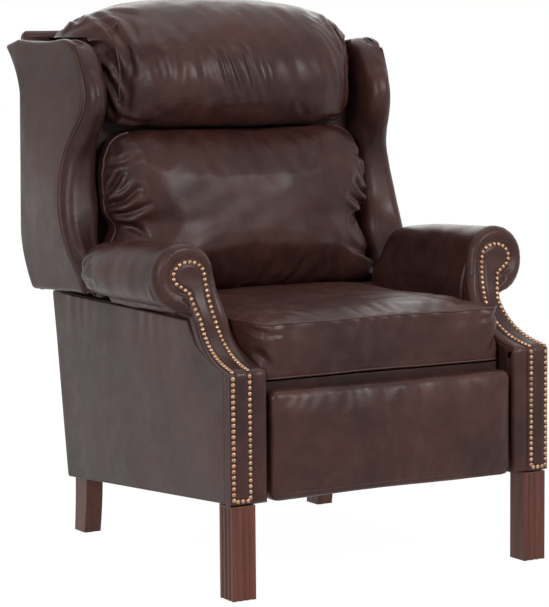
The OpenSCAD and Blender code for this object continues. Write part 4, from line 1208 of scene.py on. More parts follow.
    def build_nails(self, name: str) -> bpy.types.Object:
        """Domed nails with a thin rim, modelled once and copied.

        Args:
            name: the piece's name.

        Returns:
            All of one arm's nails as one piece.
        """
        bpy.ops.object.select_all(action="DESELECT")
        bpy.ops.mesh.primitive_uv_sphere_add(segments=14, ring_count=10, radius=self.nail_r * 0.94)
        master = bpy.context.active_object
        bpy.ops.object.mode_set(mode="EDIT")
        bpy.ops.mesh.select_all(action="SELECT")
        bpy.ops.mesh.bisect(plane_co=(0, 0, 0), plane_no=(0, 0, 1), clear_inner=True, use_fill=True)
        bpy.ops.mesh.select_all(action="SELECT")
        bpy.ops.transform.resize(value=(1, 1, 0.62))
        bpy.ops.mesh.select_all(action="DESELECT")
        bpy.ops.object.mode_set(mode="OBJECT")
        for face in master.data.polygons:
            face.select = face.normal.z < -0.9
        bpy.ops.object.mode_set(mode="EDIT")
        bpy.ops.mesh.extrude_region_move(TRANSFORM_OT_translate={"value": (0, 0, -0.0005)})
        bpy.ops.transform.resize(value=(1.07, 1.07, 1))
        bpy.ops.mesh.normals_make_consistent(inside=False)
        bpy.ops.object.mode_set(mode="OBJECT")
        Workbench.apply(master, "BEVEL", width=0.0003, segments=1, limit_method="ANGLE")
        copies = []
        for x, s in self.nail_places():
            at = Vector(LINES.on_front(np.array([x]), np.array([s]), self.strip_lift - 0.0001)[0])
            near, far = (Vector(LINES.on_front(np.array([x]), np.array([s]), reach)[0]) for reach in (0.0, 1.0))
            out = far - near
            copy = master.copy()
            copy.data = master.data.copy()
            copy.data.transform(Matrix.Translation(at) @ out.to_track_quat("Z", "Y").to_matrix().to_4x4())
            bpy.context.scene.collection.objects.link(copy)
            copies.append(copy)
        bpy.data.objects.remove(master)
        obj = Workbench.join(name, copies)
        if self.side is Side.RIGHT:
            Workbench.place(obj, Workbench.points(obj) * np.array([-1, 1, 1]))
            Workbench.take(obj)
            bpy.ops.object.mode_set(mode="EDIT")
            bpy.ops.mesh.select_all(action="SELECT")
            bpy.ops.mesh.flip_normals()
            bpy.ops.object.mode_set(mode="OBJECT")
        return obj

    def make(self, shop: Workshop) -> None:
        """Builds and hands over all of the arm's front."""
        w = self.side.word
        shop.hand_over(self.build_cover(f"arm_front_{w}_leather"), Body.BASE, stands_for=[f"arm_front_{w}"])
        shop.hand_over(self.build_strip(f"arm_facing_{w}_strip"), Body.BASE, stands_for=[f"arm_facing_{w}"])
        shop.hand_over(self.build_nails(f"nail_heads_{w}"), Body.BASE, Slot.antique_brass, [f"nail_trim_{w}"])


@dataclass
class ArmRoll:
    """The long padded roll of an arm, from behind its pleated head to under the wing."""

    side: Side
    rear: float = 0.509
    top_drop: float = 0.012
    neck: tuple[tuple[float, float], ...] = ((0.2752, 0.544), (0.2725, 0.524), (0.2724, 0.5), (0.3355, 0.5))
    stations: tuple[tuple[float, float], ...] = (
        (0, 0.955), (0.02, 0.972), (0.06, 0.98), (0.3, 1.0), (0.62, 0.98), (0.85, 0.93), (0.96, 0.86), (1, 0.74))
    folds: tuple[tuple, ...] = (
        (((0.404, 0.45, 0.600), (0.410, 0.485, 0.585), (0.398, 0.505, 0.565)), 0.0035, 0.006),
        (((0.396, 0.44, 0.555), (0.398, 0.48, 0.552), (0.386, 0.50, 0.545)), 0.003, 0.006),
        (((0.352, 0.18, 0.520), (0.372, 0.19, 0.522), (0.396, 0.195, 0.540)), 0.003, 0.004),
        (((0.405, 0.19, 0.56), (0.392, 0.20, 0.538), (0.37, 0.21, 0.524)), 0.002, 0.005),
    )

    def build(self, name: str) -> bpy.types.Object:
        """Lofts the roll.

        Args:
            name: the piece's name.

        Returns:
            The roll.
        """
        front = LINES.scroll_back + 0.012
        angles = np.radians(np.linspace(-100, 172, 72))
        head, run, tail = np.linspace(0, 0.08, 9)[:-1], np.linspace(0.08, 0.92, 56), np.linspace(0.92, 1, 8)[1:]
        rings = []
        for share in np.concatenate([head, run, tail]):
            r = LINES.roll_r * float(curve_through(self.stations, share))
            arc = np.column_stack([LINES.roll_x + r * np.cos(angles), LINES.roll_z + r * np.sin(angles)])
            ring = np.vstack([arc, stepped([arc[-1], *self.neck], 6)])
            fall = self.top_drop * share * ease((ring[:, 1] - LINES.wall_top) / LINES.roll_r)
            y = np.full(len(ring), lerp(front, self.rear, share))
            rings.append(np.column_stack([ring[:, 0], y, ring[:, 1] - fall]))
        table = np.array(rings)
        table[..., 0] *= self.side.value
        obj = Workbench.loft(name, table)
        Workbench.refine(obj)
        co = Workbench.points(obj)
        k = self.side.value
        press(obj, mirrored(self.folds, (k,)), 0.0009 * wander(co, 11 + k, 34) + 0.0005 * wander(co, 17 + k, 90))
        return obj

    def make(self, shop: Workshop) -> None:
        """Builds and hands over the roll."""
        w = self.side.word
        shop.hand_over(self.build(f"arm_roll_{w}_leather"), Body.BASE, stands_for=[f"arm_roll_{w}"])


@dataclass
class BaseCovers:
    """The base's stretched panels: outer sides, inner arms, rear panel and the cloth underneath."""

    hem: float = 0.0016
    corner_piping: float = 0.0025
    padding: float = 0.0098
    inner_x: float = 0.2722
    band: tuple[float, float, float, float] = (0.2625, 0.0428, 0.366, 0.3932)
    cloth_thick: float = 0.0008

    def side_panel(self, side: Side) -> bpy.types.Object:
        """The outer side below the arm roll."""
        k = side.value

        def place(u: Array, v: Array) -> Array:
            """Places on the side's outer face."""
            z = lerp(0.18, LINES.wall_top, v)
            for _ in range(4):
                front = LINES.front_y(z) + 0.0205 + 0.012 * ease((z - 0.43) / 0.03)
                y = lerp(np.minimum(front, 0.19), LINES.rear_y(z), u)
                z = lerp(LINES.edge_z(y) + 0.0005, LINES.wall_top, v)
            return np.column_stack([k * LINES.side_x(y), y, z])

        panel = PaddedPanel(
            place, facing(k * 0.9991, 0.0428, 0.0), 0.74, 0.33, depth=self.padding, edge=0.004, crown=0.0025,
            unevenness=0.0007, columns=110, rows=60, seed=5 + k)
        obj = panel.build(f"side_panel_{side.word}_leather")
        co = Workbench.points(obj)
        high = ease((co[:, 2] - 0.40) / 0.09) * (np.abs(co[:, 0]) > LINES.side_x(co[:, 1]) - 0.003)
        strength = high * (0.4 + 0.6 * np.sin(co[:, 1] * 9 + 1) ** 2)
        gathers = 0.0006 * np.sin(co[:, 1] * 85 + 4 * np.sin(co[:, 1] * 19)) * strength
        press(obj, [], gathers)
        return obj

    def inner_arm(self, side: Side) -> bpy.types.Object:
        """The inner face of an arm, beside the seat cushion."""
        k = side.value

        def place(u: Array, v: Array) -> Array:
            """Places on the arm's inner face."""
            z = lerp(0.301, LINES.wall_top + 0.002, v)
            y = lerp(np.minimum(LINES.front_y(z), 0.17) + 0.0195, 0.612, u)
            return np.column_stack([np.full(len(u), k * self.inner_x), y, z])

        panel = PaddedPanel(
            place, facing(-k * 1.0, 0.0, 0.0), 0.58, 0.2, depth=0.0135, edge=0.0015, crown=0.0, unevenness=0.0,
            columns=60, rows=30)
        return panel.build(f"inside_arm_{side.word}_leather")

    def rear_panel(self) -> bpy.types.Object:
        """The leaning panel across the rear of the base."""

        def place(u: Array, v: Array) -> Array:
            """Places on the rear panel's outer face."""
            low = float(LINES.edge_z(0.752))
            z = lerp(low, LINES.wall_top, v)
            half = LINES.side_x(0.817) - 0.0104 + 0.0028 * (1 - v)
            return np.column_stack([lerp(-half, half, u), LINES.rear_y(z), z])

        panel = PaddedPanel(
            place, facing(0.0, 0.9858, -0.1677), 0.61, 0.39, depth=self.padding, edge=0.004, crown=0.003,
            unevenness=0.0008, columns=90, rows=50, seed=9)
        return panel.build("base_rear_leather")

    def rear_piping(self) -> bpy.types.Object:
        """Piping down both rear corners of the base."""
        z = np.linspace(float(LINES.edge_z(0.752)) + 0.004, LINES.wall_top - 0.003, 60)
        y = LINES.rear_y(z) + 0.0004
        lines = both_sides(LINES.side_x(y) - 0.0035, y - 0.003, z)
        return Workbench.piping("base_corner_piping", lines, self.corner_piping)

    def hem_piping(self) -> bpy.types.Object:
        """Piping along the lower edge of both sides."""
        y = np.linspace(0.022, 0.744, 120)
        lines = both_sides(LINES.side_x(y) - 0.0006, y, LINES.edge_z(y) + 0.0022)
        return Workbench.piping("base_hem_piping", lines, self.hem)

    def arm_binding(self, side: Side) -> bpy.types.Object:
        """The leather over the top of an arm behind its roll, under the wing."""
        k = side.value

        def place(u: Array, v: Array) -> Array:
            """Places on the arm's top."""
            y = lerp(0.508, 0.806, v)
            return np.column_stack([k * lerp(0.2728, LINES.side_x(y) - 0.0012, u), y, np.full(len(u), 0.5016)])

        panel = PaddedPanel(place, facing(0.0, 0.0, 1.0), 0.06, 0.298, depth=0.0014, edge=0.0012, columns=12, rows=50)
        return panel.build(f"arm_binding_{side.word}")

    def seat_band(self) -> bpy.types.Object:
        """The leather over the seat frame's front, seen in the gap above the footrest; its darkness is painted shade.
        """
        place = upright(*self.band)
        panel = PaddedPanel(place, facing(0.0, -1.0, 0.0), 0.525, 0.0272, depth=0.002, edge=0.0012, columns=60, rows=10)
        return panel.build("seat_front_band")

    def under_cloth(self) -> bpy.types.Object:
        """The thin black cloth stretched under the base."""
        v, u = (a.ravel() for a in np.meshgrid(np.linspace(0, 1, 40), np.linspace(0, 1, 50), indexing="ij"))
        y = lerp(0.115, 0.6875, v)
        half = LINES.side_x(y) - 0.0142
        sag = 0.004 * (4 * u * (1 - u)) * (4 * v * (1 - v))
        points = np.column_stack([lerp(-half, half, u), y, LINES.edge_z(y) - self.cloth_thick - sag])
        obj = Workbench.sheet_of("under_cloth", points.reshape(40, 50, 3))
        Workbench.apply(obj, "SOLIDIFY", thickness=self.cloth_thick, offset=0)
        Workbench.weld(obj)
        return obj

    def make(self, shop: Workshop) -> None:
        """Builds and hands over the base's covers."""
        for side in Side:
            shop.hand_over(self.side_panel(side), Body.BASE, stands_for=[f"side_panel_{side.word}"])
            # The inner arms and arm tops wear the darker lining leather: painted shade beside the seat and under the
            # wings.
            shop.hand_over(self.inner_arm(side), Body.BASE, Slot.lining_leather, [f"inside_arm_{side.word}"])
            shop.hand_over(self.arm_binding(side), Body.BASE, Slot.lining_leather)
        shop.hand_over(self.rear_panel(), Body.BASE, stands_for=["base_back_panel"])
        shop.hand_over(self.rear_piping(), Body.BASE)
        shop.hand_over(self.hem_piping(), Body.BASE)
        # The seat band's darker lining leather is painted shade in the gap above the footrest.
        shop.hand_over(self.seat_band(), Body.SEAT, Slot.lining_leather)
        cloth = shop.hand_over(self.under_cloth(), Body.BASE, Slot.black_cloth, ["dust_cover"])


# ---- Cushions


def rounded_box_line(half_a: float, half_b: float, radius: float, pull: float) -> Array:
    """A rectangle with round corners and sides drawn in between them.

    Args:
        half_a: half its size along the first axis.
        half_b: half its size along the second axis.
        radius: the corners' radius.
        pull: how far each side is drawn in at its middle.

    Returns:
        Points round the line, anticlockwise.
    """
    line = []
    for k in range(4):
        off, along = (half_a, half_b - radius) if k % 2 == 0 else (half_b, half_a - radius)
        t = np.linspace(-1, 1, 26)
        w = np.radians(np.linspace(0, 90, 9)[1:-1])
        straight = np.column_stack([off - pull * (1 - t * t), t * along])
        corner = np.column_stack([off - radius + radius * np.cos(w), along + radius * np.sin(w)])
        part = np.vstack([straight, corner])
        c, s = math.cos(math.pi / 2 * k), math.sin(math.pi / 2 * k)
        line.append(np.column_stack([part[:, 0] * c - part[:, 1] * s, part[:, 0] * s + part[:, 1] * c]))
    return np.vstack(line)


@dataclass
class SeatCushion:
    """The boxed seat cushion, crowned and piped along both seams."""

    half_x: float = 0.2675
    front: float = 0.033
    depth: float = 0.55
    low: float = 0.3945
    side: float = 0.105
    crown: float = 0.013
    corner: float = 0.026
    pull: float = 0.004
    clear_x: float = 0.2714
    clear_y: float = 0.5845
    filling: Filling = Filling(voxel=0.006, pressure=3.2, reach=0.012, slack=0.025)
    levels: tuple[tuple[float, float, float], ...] = (
        (0.9, 0, 0), (0.3, 0, 0), (0.06, 0.02, 0), (0.0, 0.1, 0), (0.02, 0.5, 0), (0, 0.9, 0), (0.03, 0.98, 0),
        (0.12, 1, 0.03), (0.7, 1, 0.3), (2, 1, 0.56), (4.2, 1, 0.82), (6.8, 1, 0.96), (8.8, 1, 1))

    def ring(self, inset: float, z: float, pull: float) -> Array:
        """A level of the cushion."""
        d = inset * self.corner
        line = rounded_box_line(self.half_x - d, self.depth / 2 - d, max(self.corner * 0.5, self.corner - d), pull)
        return np.column_stack([line[:, 0], line[:, 1] + self.front + self.depth / 2, np.full(len(line), z)])

    def seam(self, z: float, out: float) -> Array:
        """The line of a seam round the cushion at a height."""
        line = rounded_box_line(self.half_x + out, self.depth / 2 + out, self.corner + out, self.pull)
        return np.column_stack([line[:, 0], line[:, 1] + self.front + self.depth / 2, np.full(len(line), z)])

    def build(self) -> list[bpy.types.Object]:
        """Models the cover, fills it and sews its piping.

        Returns:
            The cushion and its piping.
        """
        top = self.low + self.side
        rings = [
            self.ring(inset, self.low + high * self.side + crown * self.crown, self.pull * (1 - crown))
            for inset, high, crown in self.levels
        ]
        obj = Workbench.loft("seat_cushion_leather", np.array(rings))
        seams = [even_line(self.seam(z, 0), SEAM_STEP, True) for z in (top, self.low + 0.002)]
        self.filling.swell(obj, seams)
        Workbench.refine(obj)
        co = Workbench.points(obj)
        y0 = self.front
        face = (co[:, 1] < y0 + 0.012) & (co[:, 2] > self.low + 0.01)
        near_top = np.exp(-((top - co[:, 2] - 0.012) / 0.016) ** 2)
        pucker = 0.0012 * np.sin(co[:, 0] * 150 + 3 * np.sin(co[:, 0] * 21)) * near_top * face
        pucker += 0.0008 * wander(co, 3, 30) + 0.0005 * wander(co, 4, 80)
        x = self.half_x
        folds = [
            (((x, y0 + 0.06, 0.493), (x - 0.006, y0 + 0.012, 0.484), (x - 0.03, y0, 0.470)), 0.0035, 0.005),
            (((x - 0.004, y0 + 0.01, 0.492), (x - 0.02, y0, 0.482), (x - 0.045, y0, 0.478)), 0.0025, 0.004),
            (((x - 0.002, y0 + 0.03, 0.45), (x - 0.008, y0 + 0.004, 0.435), (x - 0.03, y0, 0.412)), 0.003, 0.008),
            (((x - 0.05, y0 + 0.03, 0.507), (x - 0.09, y0 + 0.10, 0.512), (x - 0.10, y0 + 0.19, 0.515)), 0.0018, 0.012),
        ]
        press(obj, mirrored(folds), pucker)
        co = Workbench.points(obj)
        co[:, 0] = np.clip(co[:, 0], -self.clear_x, self.clear_x)
        co[:, 1] = np.minimum(co[:, 1], self.clear_y)
        co[:, 2] = np.maximum(co[:, 2], self.low)
        Workbench.place(obj, co)
        seams = [even_line(self.seam(z, 0.0012), WELT_STEP, True) for z in (top + 0.001, self.low + 0.0035)]
        welts = [(Workbench.laid_on(obj, line, 0.0008), True) for line in seams]
        return [obj, Workbench.piping("seat_cushion_piping", welts, WELT_R)]

    def make(self, shop: Workshop) -> None:
        """Builds and hands over the cushion."""
        cushion, piping = self.build()
        shop.hand_over(cushion, Body.SEAT, stands_for=["seat_cushion"])
        shop.hand_over(piping, Body.SEAT)


@dataclass
class FootrestPad:
    """The padded front panel that swings out as the footrest."""

    half_x: float = 0.2655
    low: float = 0.1775
    high: float = 0.381
    rear: float = 0.033
    thick: float = 0.035
    crown: float = 0.0085
    corner: float = 0.016
    pull: float = 0.0018
    clear_x: float = 0.2712
    clear_y: float = -0.0128
    filling: Filling = Filling(voxel=0.005, pressure=3.0, reach=0.006, slack=0.02, held_to=0.012)
    levels: tuple[tuple[float, float, float], ...] = (
        (0.2, 0, 0), (0, 0.06, 0), (0, 0.4, 0), (0, 0.76, 0), (0.08, 0.9, 0), (0.3, 0.98, 0), (0.7, 1, 0.35),
        (1.7, 1, 0.7), (3.3, 1, 0.9), (5.2, 1, 1))

    def ring(self, inset: float, y: float) -> Array:
        """A level of the pad."""
        d = inset * self.corner
        half_z, radius = (self.high - self.low) / 2 - d, max(self.corner * 0.6, self.corner - d)
        line = rounded_box_line(self.half_x - d, half_z, radius, self.pull)
        return np.column_stack([line[:, 0], np.full(len(line), y), line[:, 1] + (self.low + self.high) / 2])

    def build(self) -> bpy.types.Object:
        """Models the pad and fills it."""
        rings = [self.ring(d, self.rear - h * self.thick - c * self.crown) for d, h, c in self.levels]
        obj = Workbench.loft("footrest_pad_leather", np.array(rings)[:, ::-1])
        edge = even_line(self.ring(0, self.rear), SEAM_STEP, True)
        rim = even_line(self.ring(0.05, self.rear - 0.9 * self.thick), SEAM_STEP, True)
        self.filling.swell(obj, [edge, rim])
        Workbench.refine(obj)
        co = Workbench.points(obj)
        front = ease((0.012 - co[:, 1]) / 0.01)
        drape = 0.0009 * np.sin(co[:, 0] * 62 + 2.2 * np.sin(co[:, 0] * 13)) * ease((co[:, 2] - 0.3) / 0.08) * front
        hem = -0.0016 * np.exp(-(((co[:, 2] - self.low - 0.011) / 0.0016) ** 2)) * front
        press(obj, [], drape + hem + 0.0006 * wander(co, 21, 32))
        co = Workbench.points(obj)
        co[:, 0] = np.clip(co[:, 0], -self.clear_x, self.clear_x)
        co[:, 1] = np.clip(co[:, 1], self.clear_y, self.rear)
        Workbench.place(obj, co)
        return obj

    def make(self, shop: Workshop) -> None:
        """Builds and hands over the pad."""
        shop.hand_over(self.build(), Body.FOOTREST, stands_for=["footrest_pad"])


@dataclass
class LumbarCushion:
    """The upright back cushion: narrow between the arms, with ears over them."""

    low: float = 0.501
    high: float = 0.8355
    rear: float = 0.65
    thick: float = 0.134
    waist: float = 0.267
    ear: float = 0.301
    lean: float = 0.16
    seam_share: float = 0.42
    between_arms: float = 0.2715
    under_wings: float = 0.3025
    foot_wide: float = 0.3375
    arm_top: float = 0.5028
    clear_z: float = 0.8368
    filling: Filling = Filling(voxel=0.0055, pressure=4.0, reach=0.02, slack=0.035)
    section: tuple[tuple[float, float], ...] = (
        (0.9, 0), (0.97, 0.06), (0.995, 0.2), (1, 0.42), (0.975, 0.58), (0.92, 0.72), (0.82, 0.83), (0.68, 0.91),
        (0.5, 0.965), (0.25, 1))
    outline_rows: tuple[tuple[float, float], ...] = (
        (0, 1.2), (0.03, 1.25), (0.09, 1.24), (0.13, 1.16), (0.18, 1.13), (0.27, 1.125), (0.35, 1.08), (0.40, 1.045),
        (0.44, 1.045), (0.475, 1.085), (0.53, 1.125), (0.58, 1.13), (0.66, 1.13), (0.76, 1.125), (0.86, 1.095),
        (0.93, 1.05), (0.975, 0.96), (1, 0.82))
    gathers: tuple[tuple[float, float, float], ...] = (
        (-0.16, 0.01, 0.0028), (-0.09, -0.008, 0.0022), (0.02, 0.01, 0.0018), (0.09, 0.012, 0.003),
        (0.15, 0.004, 0.0024), (0.2, -0.01, 0.003))
    folds: tuple[tuple, ...] = (
        (((0.300, 0.592, 0.684), (0.274, 0.560, 0.698), (0.252, 0.545, 0.722)), 0.0075, 0.006, 0.8),
        (((0.303, 0.598, 0.700), (0.288, 0.575, 0.728), (0.276, 0.562, 0.756)), 0.006, 0.0055, 0.8),
        (((0.294, 0.588, 0.674), (0.262, 0.556, 0.676), (0.232, 0.535, 0.690)), 0.005, 0.006, 0.7),
        (((0.268, 0.575, 0.652), (0.252, 0.55, 0.640), (0.236, 0.535, 0.618)), 0.0045, 0.007, 0.7),
        (((0.268, 0.585, 0.56), (0.250, 0.55, 0.565), (0.215, 0.53, 0.578)), 0.003, 0.008),
        (((0.296, 0.605, 0.762), (0.27, 0.58, 0.768), (0.245, 0.565, 0.784)), 0.0035, 0.007),
    )

    def outline(self) -> Array:
        """The cushion's outline across and up, anticlockwise from its low right."""
        share = np.linspace(0, 1, 60)
        rows = open_spline(np.array(self.outline_rows), 240)
        widest = lerp(0.336, self.ear, ease((share - 0.09) / 0.05))
        half = np.minimum(widest, np.interp(share, rows[:, 0], rows[:, 1]) * self.waist)
        z = lerp(self.low, self.high, share)
        right, left = np.column_stack([half, z]), np.column_stack([-half, z])[::-1]
        top = np.column_stack([np.linspace(half[-1], -half[-1], 22)[1:-1], np.full(20, self.high)])
        foot = np.column_stack([np.linspace(-half[0], half[0], 30)[1:-1], np.full(28, self.low)])
        return np.vstack([right, top, left, foot])

    def level(self, line: Array, share: float) -> Array:
        """A line laid at a share of the cushion's thickness, from its rear forwards."""
        tilt = self.lean * share * (line[:, 1] - (self.low + self.high) / 2)
        return np.column_stack([line[:, 0], self.rear - share * self.thick + tilt, line[:, 1]])

    def build(self) -> list[bpy.types.Object]:
        """Models the cover, fills it, and folds its corners.

        Returns:
            The cushion and its piping.
        """
        line = self.outline()
        middle = np.array([0, (self.low + self.high) / 2])
        levels = open_spline(np.array(self.section), 30)
        rings = [self.level(middle + (line - middle) * scale, share) for scale, share in levels]
        obj = Workbench.loft("back_cushion_leather", np.array(rings)[:, ::-1])
        seam = self.level(line, self.seam_share)
        self.filling.swell(obj, [even_line(seam, SEAM_STEP, True), even_line(rings[0], SEAM_STEP, True)])
        Workbench.refine(obj)
        co = Workbench.points(obj)
        creases = mirrored(self.folds)
        for x, tilt, d in self.gathers:
            creases.append(Crease(((x, 0.548, 0.508), (x + tilt, 0.525, 0.54), (x + 2 * tilt, 0.52, 0.585)), d, 0.009))
        press(obj, creases, 0.0012 * wander(co, 31, 24) + 0.0005 * wander(co, 32, 85))
        co = Workbench.points(obj)
        co[:, 1] = np.minimum(co[:, 1], self.rear)
        co[:, 2] = np.clip(co[:, 2], self.low, self.clear_z)
        wide = lerp(self.foot_wide, self.under_wings, ease((co[:, 2] - 0.532) / 0.016))
        wide = lerp(self.between_arms, wide, ease((co[:, 1] - 0.513) / 0.02))
        wide = np.where(co[:, 2] < 0.652, wide, self.under_wings)
        co[:, 0] = np.clip(co[:, 0], -wide, wide)
        over = np.abs(co[:, 0]) > self.between_arms - 0.001
        clear = np.maximum(self.arm_top, above_arms(co[:, 1]))
        co[:, 2] = np.where(over, np.maximum(co[:, 2], clear), co[:, 2])
        Workbench.place(obj, co)
        welt = even_line(seam, WELT_STEP, True)
        welt = Workbench.laid_on(obj, welt[(welt[:, 2] > 0.506) & (welt[:, 2] < 0.832)], 0.0008)
        right, left = welt[welt[:, 0] > 0], welt[welt[:, 0] < 0]
        return [obj, Workbench.piping("back_cushion_piping", [(right, False), (left, False)], WELT_R)]

    def make(self, shop: Workshop) -> None:
        """Builds and hands over the cushion."""
        cushion, piping = self.build()
        shop.hand_over(cushion, Body.BACK, stands_for=["back_cushion"])
        shop.hand_over(piping, Body.BACK)


@dataclass
class HeadPillow:
    """The long soft pillow that hangs before the back and lies over its top."""

    half_x: float = 0.280
    low: float = 0.838
    high: float = 1.088
    front: float = 0.524
    rear: float = 0.864
    lining: float = 0.6502
    lid: float = 0.9952
    heart: tuple[float, float] = (0.36, 0.5)
    crest_fall: float = 0.057
    clear_low: float = 0.8375
    clear_rear: float = 0.8665
    wing_x: float = 0.302
    wing_top: float = 1.0215
    welt_r: float = 0.0019
    filling: Filling = Filling(voxel=0.0056, pressure=4.0, reach=0.014, slack=0.03)
    ends: tuple[tuple[float, float], ...] = (
        (0, 1), (0.3, 1), (0.62, 0.99), (0.84, 0.965), (0.94, 0.905), (0.985, 0.8), (1, 0.66))
    profile: tuple[tuple[float, float], ...] = (
        (0.9, 0.015), (0.62, 0.0), (0.36, 0.03), (0.14, 0.12), (0.01, 0.28), (0.02, 0.46), (0.06, 0.63), (0.155, 0.79),
        (0.29, 0.91), (0.46, 0.98), (0.62, 1.0), (0.78, 0.975), (0.91, 0.91), (0.985, 0.82), (1.0, 0.745),
        (0.96, 0.69), (0.8, -1), (0.62, -1), (-1, -1))
    gathers: tuple[tuple[float, ...], ...] = (
        (-0.215, 0.008, 0.0022, 0.01, 0.8), (-0.168, -0.004, 0.0028, 0.01, 0.8), (-0.12, 0.006, 0.002, 0.009, 0.8),
        (-0.075, 0.008, 0.0034, 0.0065, 0.8), (-0.05, 0.01, 0.0036, 0.006, 0.8), (-0.018, 0.009, 0.003, 0.006, 0.8),
        (0.012, 0.008, 0.0024, 0.007, 0.8), (0.09, 0.01, 0.0014, 0.012, 0.8), (0.17, 0.012, 0.0014, 0.012, 0.8))
    folds: tuple[tuple, ...] = (
        (((0.275, 0.76, 1.05), (0.272, 0.70, 1.02), (0.268, 0.64, 0.965), (0.262, 0.60, 0.90)), 0.0085, 0.007, 0.9),
        (((0.285, 0.74, 1.03), (0.280, 0.68, 0.985), (0.276, 0.63, 0.92), (0.270, 0.61, 0.862)), 0.009, 0.0075, 0.9),
        (((0.262, 0.72, 1.06), (0.255, 0.64, 1.035), (0.245, 0.59, 0.99), (0.24, 0.57, 0.95)), 0.005, 0.008, 0.8),
        (((0.300, 0.80, 1.045), (0.296, 0.76, 1.035), (0.290, 0.71, 1.01)), 0.005, 0.006, 0.8),
        (((0.245, 0.70, 1.08), (0.222, 0.66, 1.075), (0.200, 0.62, 1.062)), 0.0022, 0.01),
        (((0.262, 0.62, 0.875), (0.24, 0.585, 0.852), (0.21, 0.565, 0.842)), 0.003, 0.007),
    )

    def outline(self, k: float) -> Array:
        """The pillow's side outline, drawn in by k towards its heart, as depth and height."""
        neck = (self.lining - self.front) / (self.rear - self.front)
        seat = (self.lid - self.low) / (self.high - self.low)
        pts = []
        for a, b in self.profile[:6]:
            pts.append((lerp(neck, a * neck, k), lerp(self.heart[1], b, k)))
        for a, b in self.profile[6:16]:
            pts.append((lerp(self.heart[0], a, k), lerp(seat, b, k)))
        smooth = open_spline(np.array(pts), 110)
        flat = ((0.8, seat), (0.62, seat), (neck, seat), (neck, lerp(seat, self.heart[1], 0.5)), (neck, self.heart[1]))
        ring = np.vstack([smooth, stepped([smooth[-1], *flat], 7)])
        return np.column_stack([lerp(self.front, self.rear, ring[:, 0]), lerp(self.low, self.high, ring[:, 1])])

    def build(self) -> list[bpy.types.Object]:
        """Models the cover, fills it and draws in its ends.

        Returns:
            The pillow and the welts round its ends.
        """
        rows = np.array(self.ends)
        rings = [
            self.ring(float(x), float(np.interp(abs(x), rows[:, 0], rows[:, 1])))
            for x in -np.cos(np.linspace(0, np.pi, 64))
        ]
        neck = np.array([self.lining - 0.004, self.lid + 0.006])
        hubs = [np.array([x * self.half_x, *neck]) for x in (-1, 1)]
        obj = Workbench.loft("head_pillow_leather", np.array(rings)[:, ::-1], hubs)
        ends = [even_line(self.ring(k * 0.93, 0.93), SEAM_STEP, True) for k in (1, -1)]
        flat = self.outline(1.0)[-24:]
        held = [np.column_stack([np.full(len(flat), x), flat]) for x in np.linspace(-0.25, 0.25, 60)]
        self.filling.swell(obj, [*ends, *held])
        Workbench.refine(obj)
        self._shoulders(obj)
        co = Workbench.points(obj)
        gather = ease((co[:, 2] - 0.91) / 0.04) * ease((1.02 - co[:, 2]) / 0.05) * ease((0.62 - co[:, 1]) / 0.05)
        patch = np.exp(-(((co[:, 0] + 0.035) / 0.07) ** 2)) + 0.25 * ease(wander(co[:, :1], 41, 16))
        shirr = 0.0011 * np.sin(co[:, 0] * 235 + 3.5 * np.sin(co[:, 0] * 37) + (co[:, 2] - 0.96) * 70) * gather * patch
        creases = [
            Crease(((x, 0.545, 1.005), (x + t, 0.532, 0.97), (x + 2 * t, 0.527, 0.935), (x + 3 * t, 0.53, 0.90)), *rest)
            for x, t, *rest in self.gathers
        ]
        creases += [
            Crease(((x, 0.62, 1.07), (x + 0.016, 0.58, 1.04), (x + 0.03, 0.552, 1.01)), 0.0015, 0.011)
            for x in (-0.16, -0.06, 0.02, 0.11)
        ]
        creases += mirrored(self.folds)
        press(obj, creases, shirr + 0.0013 * wander(co, 43, 22) + 0.0005 * wander(co, 44, 75))
        co = Workbench.points(obj)
        co[:, 2] = np.maximum(co[:, 2], np.where(co[:, 1] > 0.653, self.lid, self.clear_low))
        co[:, 1] = np.minimum(co[:, 1], np.where(co[:, 2] < self.lid - 0.0002, self.lining, self.clear_rear))
        over = np.abs(co[:, 0]) > self.wing_x
        co[:, 2] = np.where(over, np.maximum(co[:, 2], self.wing_top), co[:, 2])
        Workbench.place(obj, co)
        lines = []
        for k in (1, -1):
            line = even_line(self.ring(k * 0.95, 0.95)[26:58], WELT_STEP)
            lines.append((Workbench.laid_on(obj, line, 0.0006), False))
        return [obj, Workbench.piping("head_pillow_welts", lines, self.welt_r)]

    def ring(self, x: float, k: float) -> Array:
        """A section of the pillow at a share of its half width, its front drawn back towards the ends."""
        o = self.outline(k)
        turn = math.sqrt(max(0.0, 1 - max(0.0, (abs(x) - 0.56) / 0.45) ** 2))
        o[:, 0] = np.where(o[:, 0] < self.lining, self.lining - (self.lining - o[:, 0]) * turn, o[:, 0])
        return np.column_stack([np.full(len(o), x * self.half_x), o])

    def _shoulders(self, obj: bpy.types.Object) -> None:
        """Spreads the upper rear over the wings' tops and lets the crest fall away to both ends."""
        co = Workbench.points(obj)
        out = ease((co[:, 2] - 1.012) / 0.03) * ease((co[:, 1] - 0.63) / 0.07)
        co[:, 0] *= 1 + 0.19 * out * (np.abs(co[:, 0]) / self.half_x) ** 2
        fall = self.crest_fall * np.minimum(np.abs(co[:, 0]) / 0.33, 1.05) ** 2.9
        co[:, 2] += 0.006 * ease((co[:, 2] - 1.0) / 0.08) - fall * ease((co[:, 2] - 0.99) / 0.08)
        Workbench.place(obj, co)

    def make(self, shop: Workshop) -> None:
        """Builds and hands over the pillow."""
        pillow, welts = self.build()
        shop.hand_over(pillow, Body.BACK, stands_for=["head_pillow"])
        shop.hand_over(welts, Body.BACK)


# ---- Back and wings


